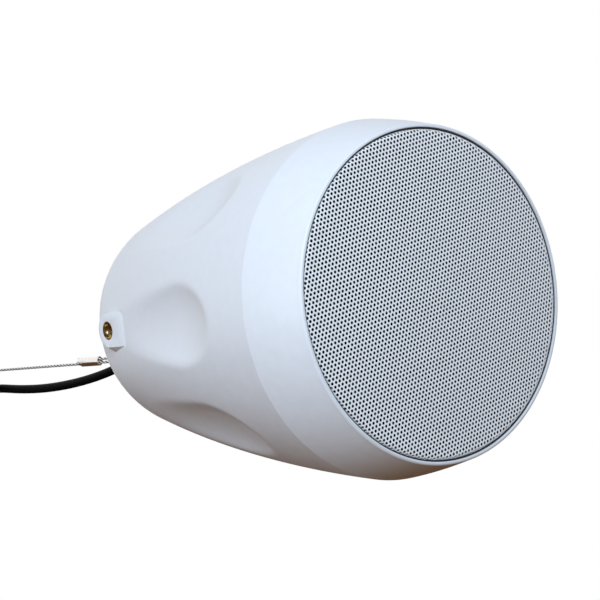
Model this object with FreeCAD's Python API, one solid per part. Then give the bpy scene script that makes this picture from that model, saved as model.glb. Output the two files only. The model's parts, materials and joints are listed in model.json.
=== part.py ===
import FreeCAD, Part
import math
import os

Vector = FreeCAD.Vector
up = Vector(0, 0, 1)
origin = Vector(0, 0, 0)

# Driving dimensions, in millimetres and degrees. Heights run up from the plane of the
# grille's rim: the speaker hangs with its grille down and its axis on Z. At the end every
# piece is moved so that the loop it hangs by is the origin.

# Enclosure
rim_radius = 93.4
rim_edge_radius = 1.0
crease_radius = 101.6
crease_height = 40.0
band_bulge = 0.6
shoulder_radius = 69.8
body_bulge = 4.6
dome_radius = 58.0
dome_height = 35.0
rear_height = 270.0
wall = 3.2
fit_gap = 0.2
seat_gap = 0.3

# Scoops in the enclosure's side
scoop_count = 8
scoop_front_height = 80.0
scoop_deep_height = 127.0
scoop_rear_gap = 1.0
scoop_depth = 6.9
scoop_floor_radius = 67.0
scoop_overrun = 8.0

# Pads with brass threaded inserts
pad_face = 77.4
pad_half_width = 10.3
pad_front_depth = 71.0
pad_straight = 19.5
insert_radius = 5.7
insert_length = 14.0
insert_thread_radius = 3.4
insert_mouth_radius = 4.6
insert_floor = 2.5
insert_boss_wall = 3.0

# Front ring
rim_land = 2.5
ledge_front = 20.0
ledge_thickness = 4.0
ledge_width = 6.9
spigot_wall = 2.2
spigot_length = 6.0
ring_boss_radius = 3.2
ring_boss_length = 10.0

# Grille
grille_gap = 0.7
grille_sheet = 1.0
grille_rise = 2.2
hole_pitch = 2.5
hole_radius = 0.72
holes_stood_for = 6
hole_field_margin = 6.9
cloth_thickness = 0.5
cloth_gap = 0.2

# Baffle and driver
baffle_thickness = 9.0
baffle_land = 8.6
baffle_screw_count = 6
baffle_screw_margin = 4.9
driver_gasket_thickness = 1.3
driver_margin = 8.3
driver_sheet = 1.2
driver_screw_count = 4
driver_screw_margin = 4.6
baffle_screw_length = 18.0
driver_screw_length = 9.0
driver_window_count = 6
driver_window_angle = 38.0
basket_depth = 45.0
spider_depth = 33.0
spider_waves = 7
spider_wave_height = 1.5
cone_thickness = 0.8
coil_radius = 12.9
coil_wall = 0.3
winding_wall = 0.5
pole_radius = 12.4
top_plate_thickness = 5.0
magnet_radius = 45.0
magnet_bore_radius = 22.0
magnet_thickness = 16.0
back_plate_thickness = 5.0
back_plate_radius = 43.0
surround_margin = 1.4
surround_width = 8.6
surround_thickness = 0.7
stem_radius = 3.0
tweeter_radius = 17.0
tweeter_depth_from_rim = 10.5
tweeter_well = 7.5
tweeter_length = 21.5
tweeter_wall = 5.5

# Rear plate and what it carries
plate_radius = 42.0
plate_thickness = 3.0
seal_thickness = 1.0
flange_thickness = 4.0
flange_inner_radius = 34.0
plate_screw_count = 6
plate_screw_circle = 38.0
plate_boss_radius = 3.8
plate_boss_length = 8.0
plate_screw_length = 13.0

# Wire rope: its line, the eye that it goes through and its crimped ferrules
rope_x = -22.8
rope_y = -12.0
rope_radius = 1.0
strand_step = 2.3
eye_wire_radius = 3.0
eye_hole_radius = 10.0
eye_collar_radius = 8.0
eye_collar_height = 3.0
eye_sink = 1.5
ferrule_wall = 0.95
ferrule_clearance = 0.15
lower_ferrule_height = 341.5
lower_ferrule_length = 29.0
ferrule_slant_width = 3.85
ferrule_slant_drop = 5.5
ferrule_to_eye = 19.5
short_end_depth = 1.5
upper_ferrule_height = 504.0
upper_ferrule_length = 25.0
loop_radius = 12.0
loop_height = 565.0

# Cable, its gland and its coil
cable_radius = 3.0
gland_x = -18.0
gland_y = 13.0
gland_bore_clearance = 0.25
gland_thread_radius = 6.0
gland_flange_radius = 8.6
gland_flange_height = 5.0
gland_cap_height = 11.0
gland_shank_length = 12.0
coil_major_radius = 33.0
coil_minor_radius = 8.3
coil_x = -34.0
coil_y = -45.0
coil_z = 525.0
core_radius = 0.9
tie_thickness = 1.2
tie_width = 4.0

# Small parts
screw_clearance = 0.2
m3_radius = 1.5
m3_head_radius = 2.8
m3_head_height = 2.0
m4_radius = 2.0
m4_head_radius = 3.5
m4_head_height = 2.2

# Transformer, bracket and crossover
bracket_sheet = 1.5
bracket_x = 2.0
bracket_half_width = 18.0
bracket_length = 70.0
bracket_foot = 13.0
core_stack = 22.0
core_half_width = 24.0
core_height = 40.0
core_leg = 8.0
core_drop = 30.0
winding_bulge = 7.0
board_thickness = 1.6
board_half_width = 21.0
board_height = 50.0
board_standoff = 9.5

# Wadding
wadding_lead = 12.0
wadding_gap = 3.0
wadding_thickness = 15.0
wadding_edge = 5.0

# Places that follow from the sizes
shoulder_height = rear_height - dome_height
pad_front_height = rear_height - pad_front_depth
insert_height = pad_front_height + pad_straight
scoop_rear_height = pad_front_height - scoop_rear_gap
wadding_bottom = scoop_deep_height - wadding_lead
wadding_top = scoop_rear_height - wadding_gap
recess_radius = rim_radius - rim_land
ledge_inner_radius = recess_radius - ledge_width
hole_field_radius = recess_radius - hole_field_margin
baffle_screw_circle = recess_radius - baffle_screw_margin
driver_radius = recess_radius - driver_margin
driver_screw_circle = driver_radius - driver_screw_margin
baffle_opening_radius = driver_radius - baffle_land
surround_outer_radius = baffle_opening_radius - surround_margin
surround_inner_radius = surround_outer_radius - surround_width
ledge_back = ledge_front + ledge_thickness
baffle_front = ledge_front - baffle_thickness
flange_back = baffle_front - driver_gasket_thickness
flange_front = flange_back - driver_sheet
grille_radius = recess_radius - grille_gap
basket_back = flange_back + basket_depth
basket_floor = basket_back - driver_sheet
top_plate_back = basket_back + top_plate_thickness
magnet_back = top_plate_back + magnet_thickness
driver_back = magnet_back + back_plate_thickness
plate_inner = rear_height - plate_thickness
flange_top = plate_inner - seal_thickness
flange_bottom = flange_top - flange_thickness
ferrule_axis_x = rope_x + strand_step / 2
ferrule_axis_y = rope_y - strand_step / 2
eye_centre_height = rear_height + eye_collar_height - eye_sink + eye_hole_radius + 2 * eye_wire_radius
eye_top_wire_height = eye_centre_height + eye_hole_radius + eye_wire_radius
gland_top = rear_height + gland_flange_height + gland_cap_height
core_top = plate_inner - core_drop
hang_point = Vector(rope_x, ferrule_axis_y, loop_height + loop_radius - rope_radius)


def save(name, shape):
    """Move a finished piece into the part's frame and write it."""
    moved = shape.copy()
    moved.translate(-hang_point)
    moved.exportStep("parts/" + name + ".step")
    print(name, len(moved.Solids), "solid(s)", round(moved.Volume, 1), "mm3", moved.isValid())


def turned(steps):
    """Solid turned about Z. Two numbers are a line to (r, z), four an arc by way of (r, z)."""
    edges = []
    here = steps[0]
    for step in steps[1:] + steps[:1]:
        start = Vector(here[-2], 0, here[-1])
        end = Vector(step[-2], 0, step[-1])
        if len(step) == 4:
            edges.append(Part.Arc(start, Vector(step[0], 0, step[1]), end).toShape())
        else:
            edges.append(Part.makeLine(start, end))
        here = step
    solid = Part.Face(Part.Wire(edges)).revolve(origin, up, 360)
    if solid.Volume < 0:
        solid.reverse()
    return solid


def rod(radius, bottom, top, x=0.0, y=0.0):
    """Upright cylinder between two heights."""
    return Part.makeCylinder(radius, top - bottom, Vector(x, y, bottom), up)


def block(x_low, x_high, y_low, y_high, z_low, z_high):
    """Box between two corners."""
    return Part.makeBox(x_high - x_low, y_high - y_low, z_high - z_low, Vector(x_low, y_low, z_low))


def around(shape, count, first_angle=0.0):
    """Copies of a shape, evenly spaced round the axis."""
    copies = []
    for index in range(count):
        copy = shape.copy()
        copy.rotate(origin, up, first_angle + index * 360.0 / count)
        copies.append(copy)
    return copies


def one_solid(shape):
    """Merge the faces of a fused shape and hand back its only solid."""
    clean = shape.removeSplitter()
    return clean.Solids[0] if len(clean.Solids) == 1 else clean


def bulged_circle(start, end, bulge):
    """Centre and radius of the arc between two (r, z) points that stands out by bulge."""
    chord_r, chord_z = end[0] - start[0], end[1] - start[1]
    length = math.hypot(chord_r, chord_z)
    radius = length ** 2 / (8 * bulge) + bulge / 2
    inward = radius - bulge
    middle_r, middle_z = (start[0] + end[0]) / 2, (start[1] + end[1]) / 2
    return middle_r - inward * chord_z / length, middle_z + inward * chord_r / length, radius


# The enclosure's outline is three arcs: the front band, the long body and the domed rear.
band_circle = bulged_circle((rim_radius, rim_edge_radius), (crease_radius, crease_height), band_bulge)
body_circle = bulged_circle(
    (crease_radius, crease_height), (shoulder_radius, shoulder_height), body_bulge
)
shoulder_normal_r = (shoulder_radius - body_circle[0]) / body_circle[2]
shoulder_normal_z = (shoulder_height - body_circle[1]) / body_circle[2]
dome_circle = (
    shoulder_radius - dome_radius * shoulder_normal_r,
    shoulder_height - dome_radius * shoulder_normal_z,
    dome_radius,
)


def circle_radius(circle, height, inset):
    """Distance from the axis to a circle's outer side at a height."""
    centre_r, centre_z, radius = circle
    return centre_r + math.sqrt((radius - inset) ** 2 - (height - centre_z) ** 2)


def dome_middle(edge_radius, edge_height, top_height, share=0.5):
    """Point on a spherical dome between its edge and its top, at a share of the edge's radius."""
    rise = top_height - edge_height
    sphere = (edge_radius ** 2 + rise ** 2) / (2 * abs(rise))
    drop = sphere - math.sqrt(sphere ** 2 - (edge_radius * share) ** 2)
    return edge_radius * share, top_height - math.copysign(drop, rise)


def body_radius(height, inset=0.0):
    """Radius of the rear shell's surface at a height, or of a surface inside it."""
    meeting = shoulder_height - shoulder_normal_z * inset
    circle = body_circle if height <= meeting else dome_circle
    return circle_radius(circle, height, inset)


def body_form(bottom, top, inset=0.0):
    """Solid inside the rear shell's surface, between two heights."""
    meeting = shoulder_height - shoulder_normal_z * inset
    low_middle = (bottom + meeting) / 2
    high_middle = (meeting + top) / 2
    return turned([
        (0, bottom),
        (body_radius(bottom, inset), bottom),
        (body_radius(low_middle, inset), low_middle, body_radius(meeting, inset), meeting),
        (body_radius(high_middle, inset), high_middle, body_radius(top, inset), top),
        (0, top),
    ])


def scoop_floor():
    """Deepest and rear ends of the straight line along a scoop's floor, as (r, z)."""
    deep = (body_radius(scoop_deep_height) - scoop_depth, scoop_deep_height)
    return deep, (body_radius(scoop_rear_height), scoop_rear_height)


def scoop_cutter(grow=0.0):
    """Cutter of one teardrop scoop, on the +X side: a straight floor with a round front end.

    It is turned about a line outside the body, parallel to the floor, so the floor is
    hollow across as well. Grown by the wall, it shapes the inside of the shell.
    """
    deep, rear = [Vector(radius, 0, height) for radius, height in scoop_floor()]
    front = Vector(body_radius(scoop_front_height), 0, scoop_front_height)
    along = (rear - deep).normalize()
    outward = Vector(along.z, 0, -along.x)
    reach = front - deep
    front_arc_radius = reach.dot(reach) / (2 * reach.dot(outward))
    arc_centre = deep + outward * front_arc_radius
    front_angle = math.atan2(-reach.dot(along), front_arc_radius - reach.dot(outward))
    end_angle = front_angle + math.radians(scoop_overrun / 2)

    def on_arc(angle):
        radius = front_arc_radius + grow
        return arc_centre - outward * (radius * math.cos(angle)) - along * (radius * math.sin(angle))

    floor_start = deep - outward * grow
    floor_end = rear + along * (scoop_overrun + grow) - outward * grow
    front_end = on_arc(end_angle)
    axis_point = deep + outward * scoop_floor_radius
    axis_front = axis_point + along * (front_end - axis_point).dot(along)
    axis_rear = axis_point + along * (floor_end - axis_point).dot(along)
    wire = Part.Wire([
        Part.makeLine(axis_front, front_end),
        Part.Arc(front_end, on_arc(end_angle / 2), floor_start).toShape(),
        Part.makeLine(floor_start, floor_end),
        Part.makeLine(floor_end, axis_rear),
        Part.makeLine(axis_rear, axis_front),
    ])
    cutter = Part.Face(wire).revolve(axis_point, along, 360)
    if cutter.Volume < 0:
        cutter.reverse()
    return cutter


def scoops(grow=0.0):
    """All the scoops' cutters, the first one in line with the pad at -Y."""
    return around(scoop_cutter(grow), scoop_count, -90)


def pad_prism(outer, inner):
    """Prism of the pad's outline at -Y, square in front and round behind, between two depths."""
    straight = block(-pad_half_width, pad_half_width, -outer, -inner, pad_front_height, insert_height)
    centre = Vector(0, -outer, insert_height)
    return straight.fuse(Part.makeCylinder(pad_half_width, outer - inner, centre, Vector(0, 1, 0)))


def pad_form():
    """Pad at -Y up to its flat face, and the boss behind it for its insert."""
    pad = pad_prism(pad_face, body_radius(insert_height + pad_half_width, wall))
    mouth = Vector(0, -pad_face, insert_height)
    boss_radius = insert_radius + insert_boss_wall
    boss = Part.makeCylinder(boss_radius, insert_length + insert_floor, mouth, Vector(0, 1, 0))
    return pad.fuse(boss)


def pad_clearance():
    """Room in front of the pad, where its flat face cuts into the shell's curve."""
    return pad_prism(pad_face + wall, pad_face)


def insert_hole():
    """Blind hole in the pad at -Y that the brass insert is pressed into."""
    start = Vector(0, -pad_face, insert_height)
    return Part.makeCylinder(insert_radius + fit_gap / 4, insert_length + fit_gap, start, Vector(0, 1, 0))


def screw_ring(radius, bottom, top, circle, count, first_angle=0.0):
    """Ring of upright cylinders, such as screw holes or bosses."""
    return around(rod(radius, bottom, top, circle, 0), count, first_angle)


def make_housing():
    """Rear shell: one moulding with scoops, pads, a rear flange and screw bosses."""
    outside = body_form(crease_height, rear_height).cut(scoops())
    outside = outside.cut(around(pad_clearance(), 2)).fuse(around(pad_form(), 2))
    inside = body_form(crease_height - 1, flange_bottom, wall).cut(scoops(wall))
    inside = inside.cut(around(pad_form(), 2))
    bosses = screw_ring(
        plate_boss_radius, flange_bottom - plate_boss_length, flange_bottom,
        plate_screw_circle, plate_screw_count,
    )
    inside = inside.cut(bosses)
    shell = outside.cut(inside)
    shell = shell.cut([
        rod(plate_radius + fit_gap, flange_top, rear_height + 1),
        rod(flange_inner_radius, flange_bottom - 1, flange_top + 1),
    ])
    shell = shell.cut(screw_ring(
        m3_radius, flange_bottom - plate_boss_length + 2, flange_top + 1,
        plate_screw_circle, plate_screw_count,
    ))
    return one_solid(shell.cut(around(insert_hole(), 2)))


def make_front_ring():
    """Front band: rim round the grille, ledge for the baffle and spigot into the housing."""
    edge = rim_edge_radius
    edge_middle = edge * (1 - math.sqrt(0.5))
    band_middle = (edge + crease_height) / 2
    spigot_radius = body_radius(crease_height + spigot_length, wall) - fit_gap
    ring_inner_radius = spigot_radius - spigot_wall
    ring = turned([
        (recess_radius, 0),
        (rim_radius - edge, 0),
        (rim_radius - edge_middle, edge_middle, rim_radius, edge),
        (circle_radius(band_circle, band_middle, 0), band_middle, crease_radius, crease_height),
        (spigot_radius, crease_height),
        (spigot_radius, crease_height + spigot_length),
        (ring_inner_radius, crease_height + spigot_length),
        (ring_inner_radius, ledge_back),
        (ledge_inner_radius, ledge_back),
        (ledge_inner_radius, ledge_front),
        (recess_radius, ledge_front),
    ])
    bosses = screw_ring(
        ring_boss_radius, ledge_front + 1, ledge_back + ring_boss_length,
        baffle_screw_circle, baffle_screw_count,
    )
    holes = screw_ring(
        m3_radius, ledge_front - 1, ledge_back + ring_boss_length - 2,
        baffle_screw_circle, baffle_screw_count,
    )
    return one_solid(ring.fuse(bosses).cut(holes))


def make_side_inserts():
    """Brass inserts, one in each pad: a threaded sleeve with a chamfered mouth."""
    mouth = Vector(0, -pad_face, insert_height)
    inward = Vector(0, 1, 0)
    sleeve = Part.makeCylinder(insert_radius, insert_length, mouth, inward)
    bore = Part.makeCylinder(insert_thread_radius, insert_length, mouth, inward)
    chamfer = Part.makeCone(
        insert_mouth_radius, insert_thread_radius, insert_mouth_radius - insert_thread_radius, mouth, inward
    )
    return Part.makeCompound(around(sleeve.cut([bore, chamfer]), 2))


def make_grille():
    """Domed perforated sheet with a turned-back edge that stands on the baffle.

    The sheet's own holes are hole_pitch apart. Each hole made here stands for a patch of
    them, holes_stood_for pitches wide, and has the same share of open area.
    """
    edge = grille_radius - grille_sheet
    quarter = math.sqrt(0.5)
    sheet = turned([
        (0, -grille_rise),
        (*dome_middle(edge, 0, -grille_rise), edge, 0),
        (edge + grille_sheet * quarter, grille_sheet * (1 - quarter), grille_radius, grille_sheet),
        (grille_radius, baffle_front),
        (edge, baffle_front),
        (edge, grille_sheet),
        (*dome_middle(edge, grille_sheet, grille_sheet - grille_rise), 0, grille_sheet - grille_rise),
    ])
    pitch = hole_pitch * holes_stood_for
    radius = hole_radius * holes_stood_for
    row_step = pitch * math.sqrt(3) / 2
    rows = int(hole_field_radius / row_step)
    holes = []
    for row in range(-rows, rows + 1):
        shift = pitch / 2 if row % 2 else 0.0
        for column in range(-rows - 1, rows + 2):
            x, y = column * pitch + shift, row * row_step
            if math.hypot(x, y) + radius < hole_field_radius:
                holes.append(rod(radius, -grille_rise - 1, grille_sheet + 1, x, y))
    return sheet.cut(Part.makeCompound(holes)).Solids[0]


def make_grille_cloth():
    """Thin cloth behind the grille, to the same dome."""
    edge = grille_radius - grille_sheet - seat_gap
    top = grille_sheet + cloth_gap
    back = top + cloth_thickness
    return turned([
        (0, top - grille_rise),
        (*dome_middle(edge, top, top - grille_rise), edge, top),
        (edge, back),
        (*dome_middle(edge, back, back - grille_rise), 0, back - grille_rise),
    ])


def make_front_baffle():
    """Board that closes the front and carries the driver."""
    board = turned([
        (baffle_opening_radius, baffle_front),
        (recess_radius - seat_gap, baffle_front),
        (recess_radius - seat_gap, ledge_front),
        (baffle_opening_radius, ledge_front),
    ])
    below, above = baffle_front - 1, ledge_front + 1
    ring_holes = screw_ring(
        m3_radius + screw_clearance, below, above, baffle_screw_circle, baffle_screw_count
    )
    driver_holes = screw_ring(
        m4_radius, below, above, driver_screw_circle, driver_screw_count, 45
    )
    return board.cut(ring_holes + driver_holes)


def pan_screw(shank_radius, head_radius, head_height, face, length, direction):
    """Pan-head screw whose head sits on a face; direction is +1 if it points up."""
    way = up * direction
    slack = fit_gap / 4
    shank = Part.makeCylinder(shank_radius - slack, length, Vector(0, 0, face), way)
    head = Part.makeCylinder(head_radius, head_height, Vector(0, 0, face), way * -1)
    rim = [edge for edge in head.Edges if abs(edge.CenterOfMass.z - face) > head_height / 2]
    rounded = head.makeFillet(head_height / 2, [edge for edge in rim if edge.Length > head_radius * 3])
    return shank.fuse(rounded).removeSplitter()


def screws_round(screw, circle, count, first_angle=0.0):
    """Ring of identical screws as one group of separate solids."""
    screw.translate(Vector(circle, 0, 0))
    return Part.makeCompound(around(screw, count, first_angle))


def make_baffle_screws():
    screw = pan_screw(
        m3_radius, m3_head_radius, m3_head_height, baffle_front, baffle_screw_length, 1
    )
    return screws_round(screw, baffle_screw_circle, baffle_screw_count)


def make_driver_screws():
    screw = pan_screw(
        m4_radius, m4_head_radius, m4_head_height, flange_front, driver_screw_length, 1
    )
    return screws_round(screw, driver_screw_circle, driver_screw_count, 45)


def make_driver_gasket():
    """Foam ring between the driver and the baffle."""
    ring = turned([
        (baffle_opening_radius + 0.5, flange_back),
        (driver_radius - fit_gap, flange_back),
        (driver_radius - fit_gap, baffle_front),
        (baffle_opening_radius + 0.5, baffle_front),
    ])
    holes = screw_ring(
        m4_radius + 2 * screw_clearance, flange_back - 1, baffle_front + 1,
        driver_screw_circle, driver_screw_count, 45,
    )
    return ring.cut(holes)


spider_back = flange_back + spider_depth
pan_radius = baffle_opening_radius - 0.6
landing_outer = pan_radius - 18.0
landing_inner = landing_outer - 7.0


def make_driver_basket():
    """Pressed frame: rim, tapered wall with windows, spider landing and floor."""
    sheet = driver_sheet
    floor_edge = landing_inner - 1.0
    basket = turned([
        (driver_radius, flange_front),
        (driver_radius, flange_back),
        (pan_radius, flange_back),
        (pan_radius - 2.6, flange_back + 4.3),
        (landing_outer, spider_back + sheet),
        (landing_inner + sheet, spider_back + sheet),
        (floor_edge + sheet, basket_back),
        (magnet_bore_radius, basket_back),
        (magnet_bore_radius, basket_floor),
        (floor_edge, basket_floor),
        (landing_inner, spider_back),
        (landing_outer - sheet, spider_back),
        (pan_radius - 2.6 - sheet, flange_back + 4.3),
        (pan_radius - sheet, flange_front),
    ])
    window_bottom = flange_back + 8
    window_height = spider_back - 3 - window_bottom
    window = Part.makeCylinder(
        driver_radius, window_height, Vector(0, 0, window_bottom), up, driver_window_angle
    )
    holes = screw_ring(
        m4_radius + screw_clearance, flange_front - 1, flange_back + 1,
        driver_screw_circle, driver_screw_count, 45,
    )
    return one_solid(basket.cut(around(window, driver_window_count) + holes))


def make_surround():
    """Half-roll rubber edge between the cone and the basket's rim."""
    middle = (surround_inner_radius + surround_outer_radius) / 2
    roll = (surround_outer_radius - surround_inner_radius) / 2
    top = flange_front - surround_thickness
    thin = roll - surround_thickness
    return turned([
        (surround_inner_radius - 2.5, top),
        (surround_inner_radius, top),
        (middle, top - roll, surround_outer_radius, top),
        (surround_outer_radius + 1.6, top),
        (surround_outer_radius + 1.6, flange_front),
        (middle + thin, flange_front),
        (middle + thin, top),
        (middle, top - thin, middle - thin, top),
        (middle - thin, flange_front),
        (surround_inner_radius - 2.5, flange_front),
    ])


cone_neck_radius = coil_radius + coil_wall + fit_gap
cone_neck_height = spider_back - 4.5


def make_cone():
    """Curved paper cone from the surround down to the voice coil."""
    lip = surround_inner_radius - 2.7
    middle_r = (lip + cone_neck_radius) / 2
    middle_z = (flange_front + cone_neck_height) / 2 - 2
    back = cone_thickness
    return turned([
        (surround_inner_radius, flange_front),
        (lip, flange_front),
        (middle_r, middle_z, cone_neck_radius, cone_neck_height),
        (cone_neck_radius, cone_neck_height + 1.4),
        (middle_r + back / 2, middle_z + back, lip + 0.4, flange_front + back),
        (surround_inner_radius, flange_front + back),
    ])


def make_spider():
    """Corrugated suspension disc that centres the voice coil."""
    inner, outer = cone_neck_radius, landing_outer - driver_sheet - 1
    flat = 2.5
    span = (landing_inner - flat - inner - flat) / (2 * spider_waves)
    front = spider_back - surround_thickness

    def waves(height):
        steps = [(inner, height), (inner + flat, height)]
        for index in range(2 * spider_waves):
            start = inner + flat + index * span
            side = spider_wave_height if index % 2 else -spider_wave_height
            steps.append((start + span / 2, height + side / 2, start + span, height))
        return steps + [(outer, height)]

    def backwards(steps):
        ends = [step[-2:] for step in steps]
        result = [ends[-1]]
        for index in range(len(steps) - 1, 0, -1):
            result.append(steps[index][:-2] + ends[index - 1])
        return result

    return turned(waves(front) + backwards(waves(spider_back)))


def make_voice_coil():
    """Voice coil: thin former with its winding in the magnet's gap."""
    front = cone_neck_height - 2
    winding_front = basket_back - 3
    back = top_plate_back + 2
    outer = coil_radius + coil_wall
    return turned([
        (coil_radius, front),
        (outer, front),
        (outer, winding_front),
        (outer + winding_wall, winding_front),
        (outer + winding_wall, back),
        (coil_radius, back),
    ])


def make_top_plate():
    """Steel ring in front of the magnet."""
    gap_radius = coil_radius + coil_wall + winding_wall + 0.6
    return turned([
        (gap_radius, basket_back),
        (magnet_radius, basket_back),
        (magnet_radius, top_plate_back),
        (gap_radius, top_plate_back),
    ])


def make_magnet():
    """Ferrite ring magnet with ground edges."""
    edge = 1.0
    return turned([
        (magnet_bore_radius, top_plate_back),
        (magnet_radius - edge, top_plate_back),
        (magnet_radius, top_plate_back + edge),
        (magnet_radius, magnet_back - edge),
        (magnet_radius - edge, magnet_back),
        (magnet_bore_radius, magnet_back),
    ])


def make_back_plate():
    """Back plate with its pole, bored for the tweeter's stem."""
    bore = stem_radius + fit_gap / 2
    pole_front = basket_floor - 0.5
    return turned([
        (bore, pole_front),
        (pole_radius, pole_front),
        (pole_radius, magnet_back),
        (back_plate_radius, magnet_back),
        (back_plate_radius, driver_back - 1),
        (back_plate_radius - 1, driver_back),
        (bore, driver_back),
    ])


tweeter_floor = tweeter_depth_from_rim + tweeter_well
tweeter_back = tweeter_depth_from_rim + tweeter_length
stem_socket = tweeter_back - 5.0


def make_tweeter_stem():
    """Stem that holds the tweeter on the pole."""
    return rod(stem_radius, stem_socket, driver_back - 1)


def make_tweeter_housing():
    """Tapered cup of the tweeter, with a socket for the stem."""
    socket = stem_radius + fit_gap / 4
    cup = tweeter_radius - tweeter_wall
    return turned([
        (cup, tweeter_depth_from_rim),
        (tweeter_radius, tweeter_depth_from_rim),
        (tweeter_radius, tweeter_depth_from_rim + 3),
        (tweeter_radius - 4.5, tweeter_back - 6),
        (stem_radius * 2, tweeter_back),
        (socket, tweeter_back),
        (socket, stem_socket),
        (0, stem_socket),
        (0, tweeter_floor),
        (cup, tweeter_floor),
    ])


def make_tweeter_dome():
    """Thin dome of the tweeter with its flat rim."""
    rim = tweeter_radius - tweeter_wall - seat_gap
    dome = rim - 2.3
    inside = dome - 0.8
    front = tweeter_floor - 1
    crown = front - 4
    skin = 0.5
    return turned([
        (rim, tweeter_floor),
        (rim, front),
        (dome, front),
        (*dome_middle(dome, front, crown), 0, crown),
        (0, crown + skin),
        (*dome_middle(inside, front, crown + skin), inside, front),
        (inside, tweeter_floor),
    ])


def make_damping_wadding():
    """Soft ring of fibre that lines the shell and lies against the backs of the scoops."""
    deep, rear = scoop_floor()
    slope = (rear[0] - deep[0]) / (rear[1] - deep[1])
    clearance = (wall + seat_gap) * math.hypot(1, slope)

    def outer(height):
        return deep[0] + slope * (height - deep[1]) - clearance

    low, high = wadding_bottom + wadding_edge, wadding_top - wadding_edge
    middle_low = (outer(low) - wadding_thickness / 2, wadding_bottom)
    middle_high = (outer(high) - wadding_thickness / 2, wadding_top)
    return turned([
        (outer(low) - wadding_thickness, low),
        (*middle_low, outer(low), low),
        (outer(high), high),
        (*middle_high, outer(high) - wadding_thickness, high),
    ])


bracket_screw_x = bracket_x + bracket_foot - 5.0
bracket_screw_y = 11.0


def bracket_holes(radius, bottom, top):
    """The two holes, or screws, that hold the bracket to the rear plate."""
    return [rod(radius, bottom, top, bracket_screw_x, side * bracket_screw_y) for side in (-1, 1)]


def make_rear_plate():
    """Steel plate that closes the rear and carries the eye, the gland and the bracket."""
    plate = rod(plate_radius, plate_inner, rear_height)
    below, above = plate_inner - 1, rear_height + 1
    holes = screw_ring(m3_radius + screw_clearance, below, above, plate_screw_circle, plate_screw_count)
    holes.append(rod(eye_wire_radius + screw_clearance, below, above, ferrule_axis_x, rope_y))
    holes.append(rod(gland_thread_radius + screw_clearance, below, above, gland_x, gland_y))
    return plate.cut(holes + bracket_holes(m4_radius + screw_clearance, below, above))


def make_plate_seal():
    """Soft ring that seals the rear plate on its flange."""
    seal = turned([
        (flange_inner_radius + 0.5, flange_top),
        (plate_radius - 0.5, flange_top),
        (plate_radius - 0.5, plate_inner),
        (flange_inner_radius + 0.5, plate_inner),
    ])
    return seal.cut(screw_ring(
        m3_radius + 2 * screw_clearance, flange_top - 1, plate_inner + 1,
        plate_screw_circle, plate_screw_count,
    ))


def make_plate_screws():
    screw = pan_screw(m3_radius, m3_head_radius, m3_head_height, rear_height, plate_screw_length, -1)
    return screws_round(screw, plate_screw_circle, plate_screw_count)


def hexagon(across_flats, bottom, top, x, y):
    """Upright hexagonal prism."""
    radius = across_flats / math.sqrt(3)
    corners = [
        Vector(x + radius * math.cos(math.radians(60 * i)), y + radius * math.sin(math.radians(60 * i)), bottom)
        for i in range(6)
    ]
    return Part.Face(Part.makePolygon(corners + corners[:1])).extrude(up * (top - bottom))


washer_thickness = 1.2
nut_height = 5.0
eye_shank_end = plate_inner - washer_thickness - nut_height - 2.0


def make_hanging_eye():
    """Forged eye: ring, collar and threaded shank in one piece."""
    x, y = ferrule_axis_x, rope_y
    ring = Part.makeTorus(
        eye_hole_radius + eye_wire_radius, eye_wire_radius,
        Vector(x, y, eye_centre_height), Vector(1, 0, 0),
    )
    collar = Part.makeCone(
        eye_collar_radius, eye_wire_radius + 1.5, eye_collar_height, Vector(x, y, rear_height), up
    )
    shank = rod(eye_wire_radius, eye_shank_end, rear_height + eye_collar_height, x, y)
    return one_solid(ring.fuse([collar, shank]))


def make_eye_washer():
    x, y = ferrule_axis_x, rope_y
    disc = rod(6.5, plate_inner - washer_thickness, plate_inner, x, y)
    return disc.cut(rod(eye_wire_radius + screw_clearance, eye_shank_end, rear_height, x, y))


def make_eye_nut():
    x, y = ferrule_axis_x, rope_y
    top = plate_inner - washer_thickness
    nut = hexagon(10.0, top - nut_height, top, x, y)
    return nut.cut(rod(eye_wire_radius + fit_gap / 4, eye_shank_end, rear_height, x, y))


gland_shank_end = rear_height - gland_shank_length
gland_bore = cable_radius + gland_bore_clearance


def make_gland_body():
    """Cable gland: hexagonal flange on the plate with a threaded shank through it."""
    flange_top_height = rear_height + gland_flange_height
    flange = hexagon(
        gland_flange_radius * math.sqrt(3), rear_height, flange_top_height, gland_x, gland_y
    )
    flange = flange.common(rod(gland_flange_radius * 0.95, rear_height, flange_top_height, gland_x, gland_y))
    shank = rod(gland_thread_radius, gland_shank_end, rear_height, gland_x, gland_y)
    bore = rod(gland_bore, gland_shank_end - 1, flange_top_height + 1, gland_x, gland_y)
    return one_solid(flange.fuse(shank).cut(bore))


def make_gland_cap():
    """Domed cap of the gland, which grips the cable."""
    bottom = rear_height + gland_flange_height
    outer = gland_flange_radius - 0.9
    cap = turned([
        (gland_bore, bottom),
        (outer, bottom),
        (outer, bottom + gland_cap_height * 0.55),
        (outer - 1.0, gland_top - 1.5, gland_bore + 1.2, gland_top),
        (gland_bore, gland_top),
    ])
    cap.translate(Vector(gland_x, gland_y, 0))
    return cap


def make_gland_nut():
    nut = hexagon(15.0, plate_inner - nut_height, plate_inner, gland_x, gland_y)
    hole = rod(gland_thread_radius + fit_gap / 4, gland_shank_end, rear_height, gland_x, gland_y)
    return nut.cut(hole)


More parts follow.
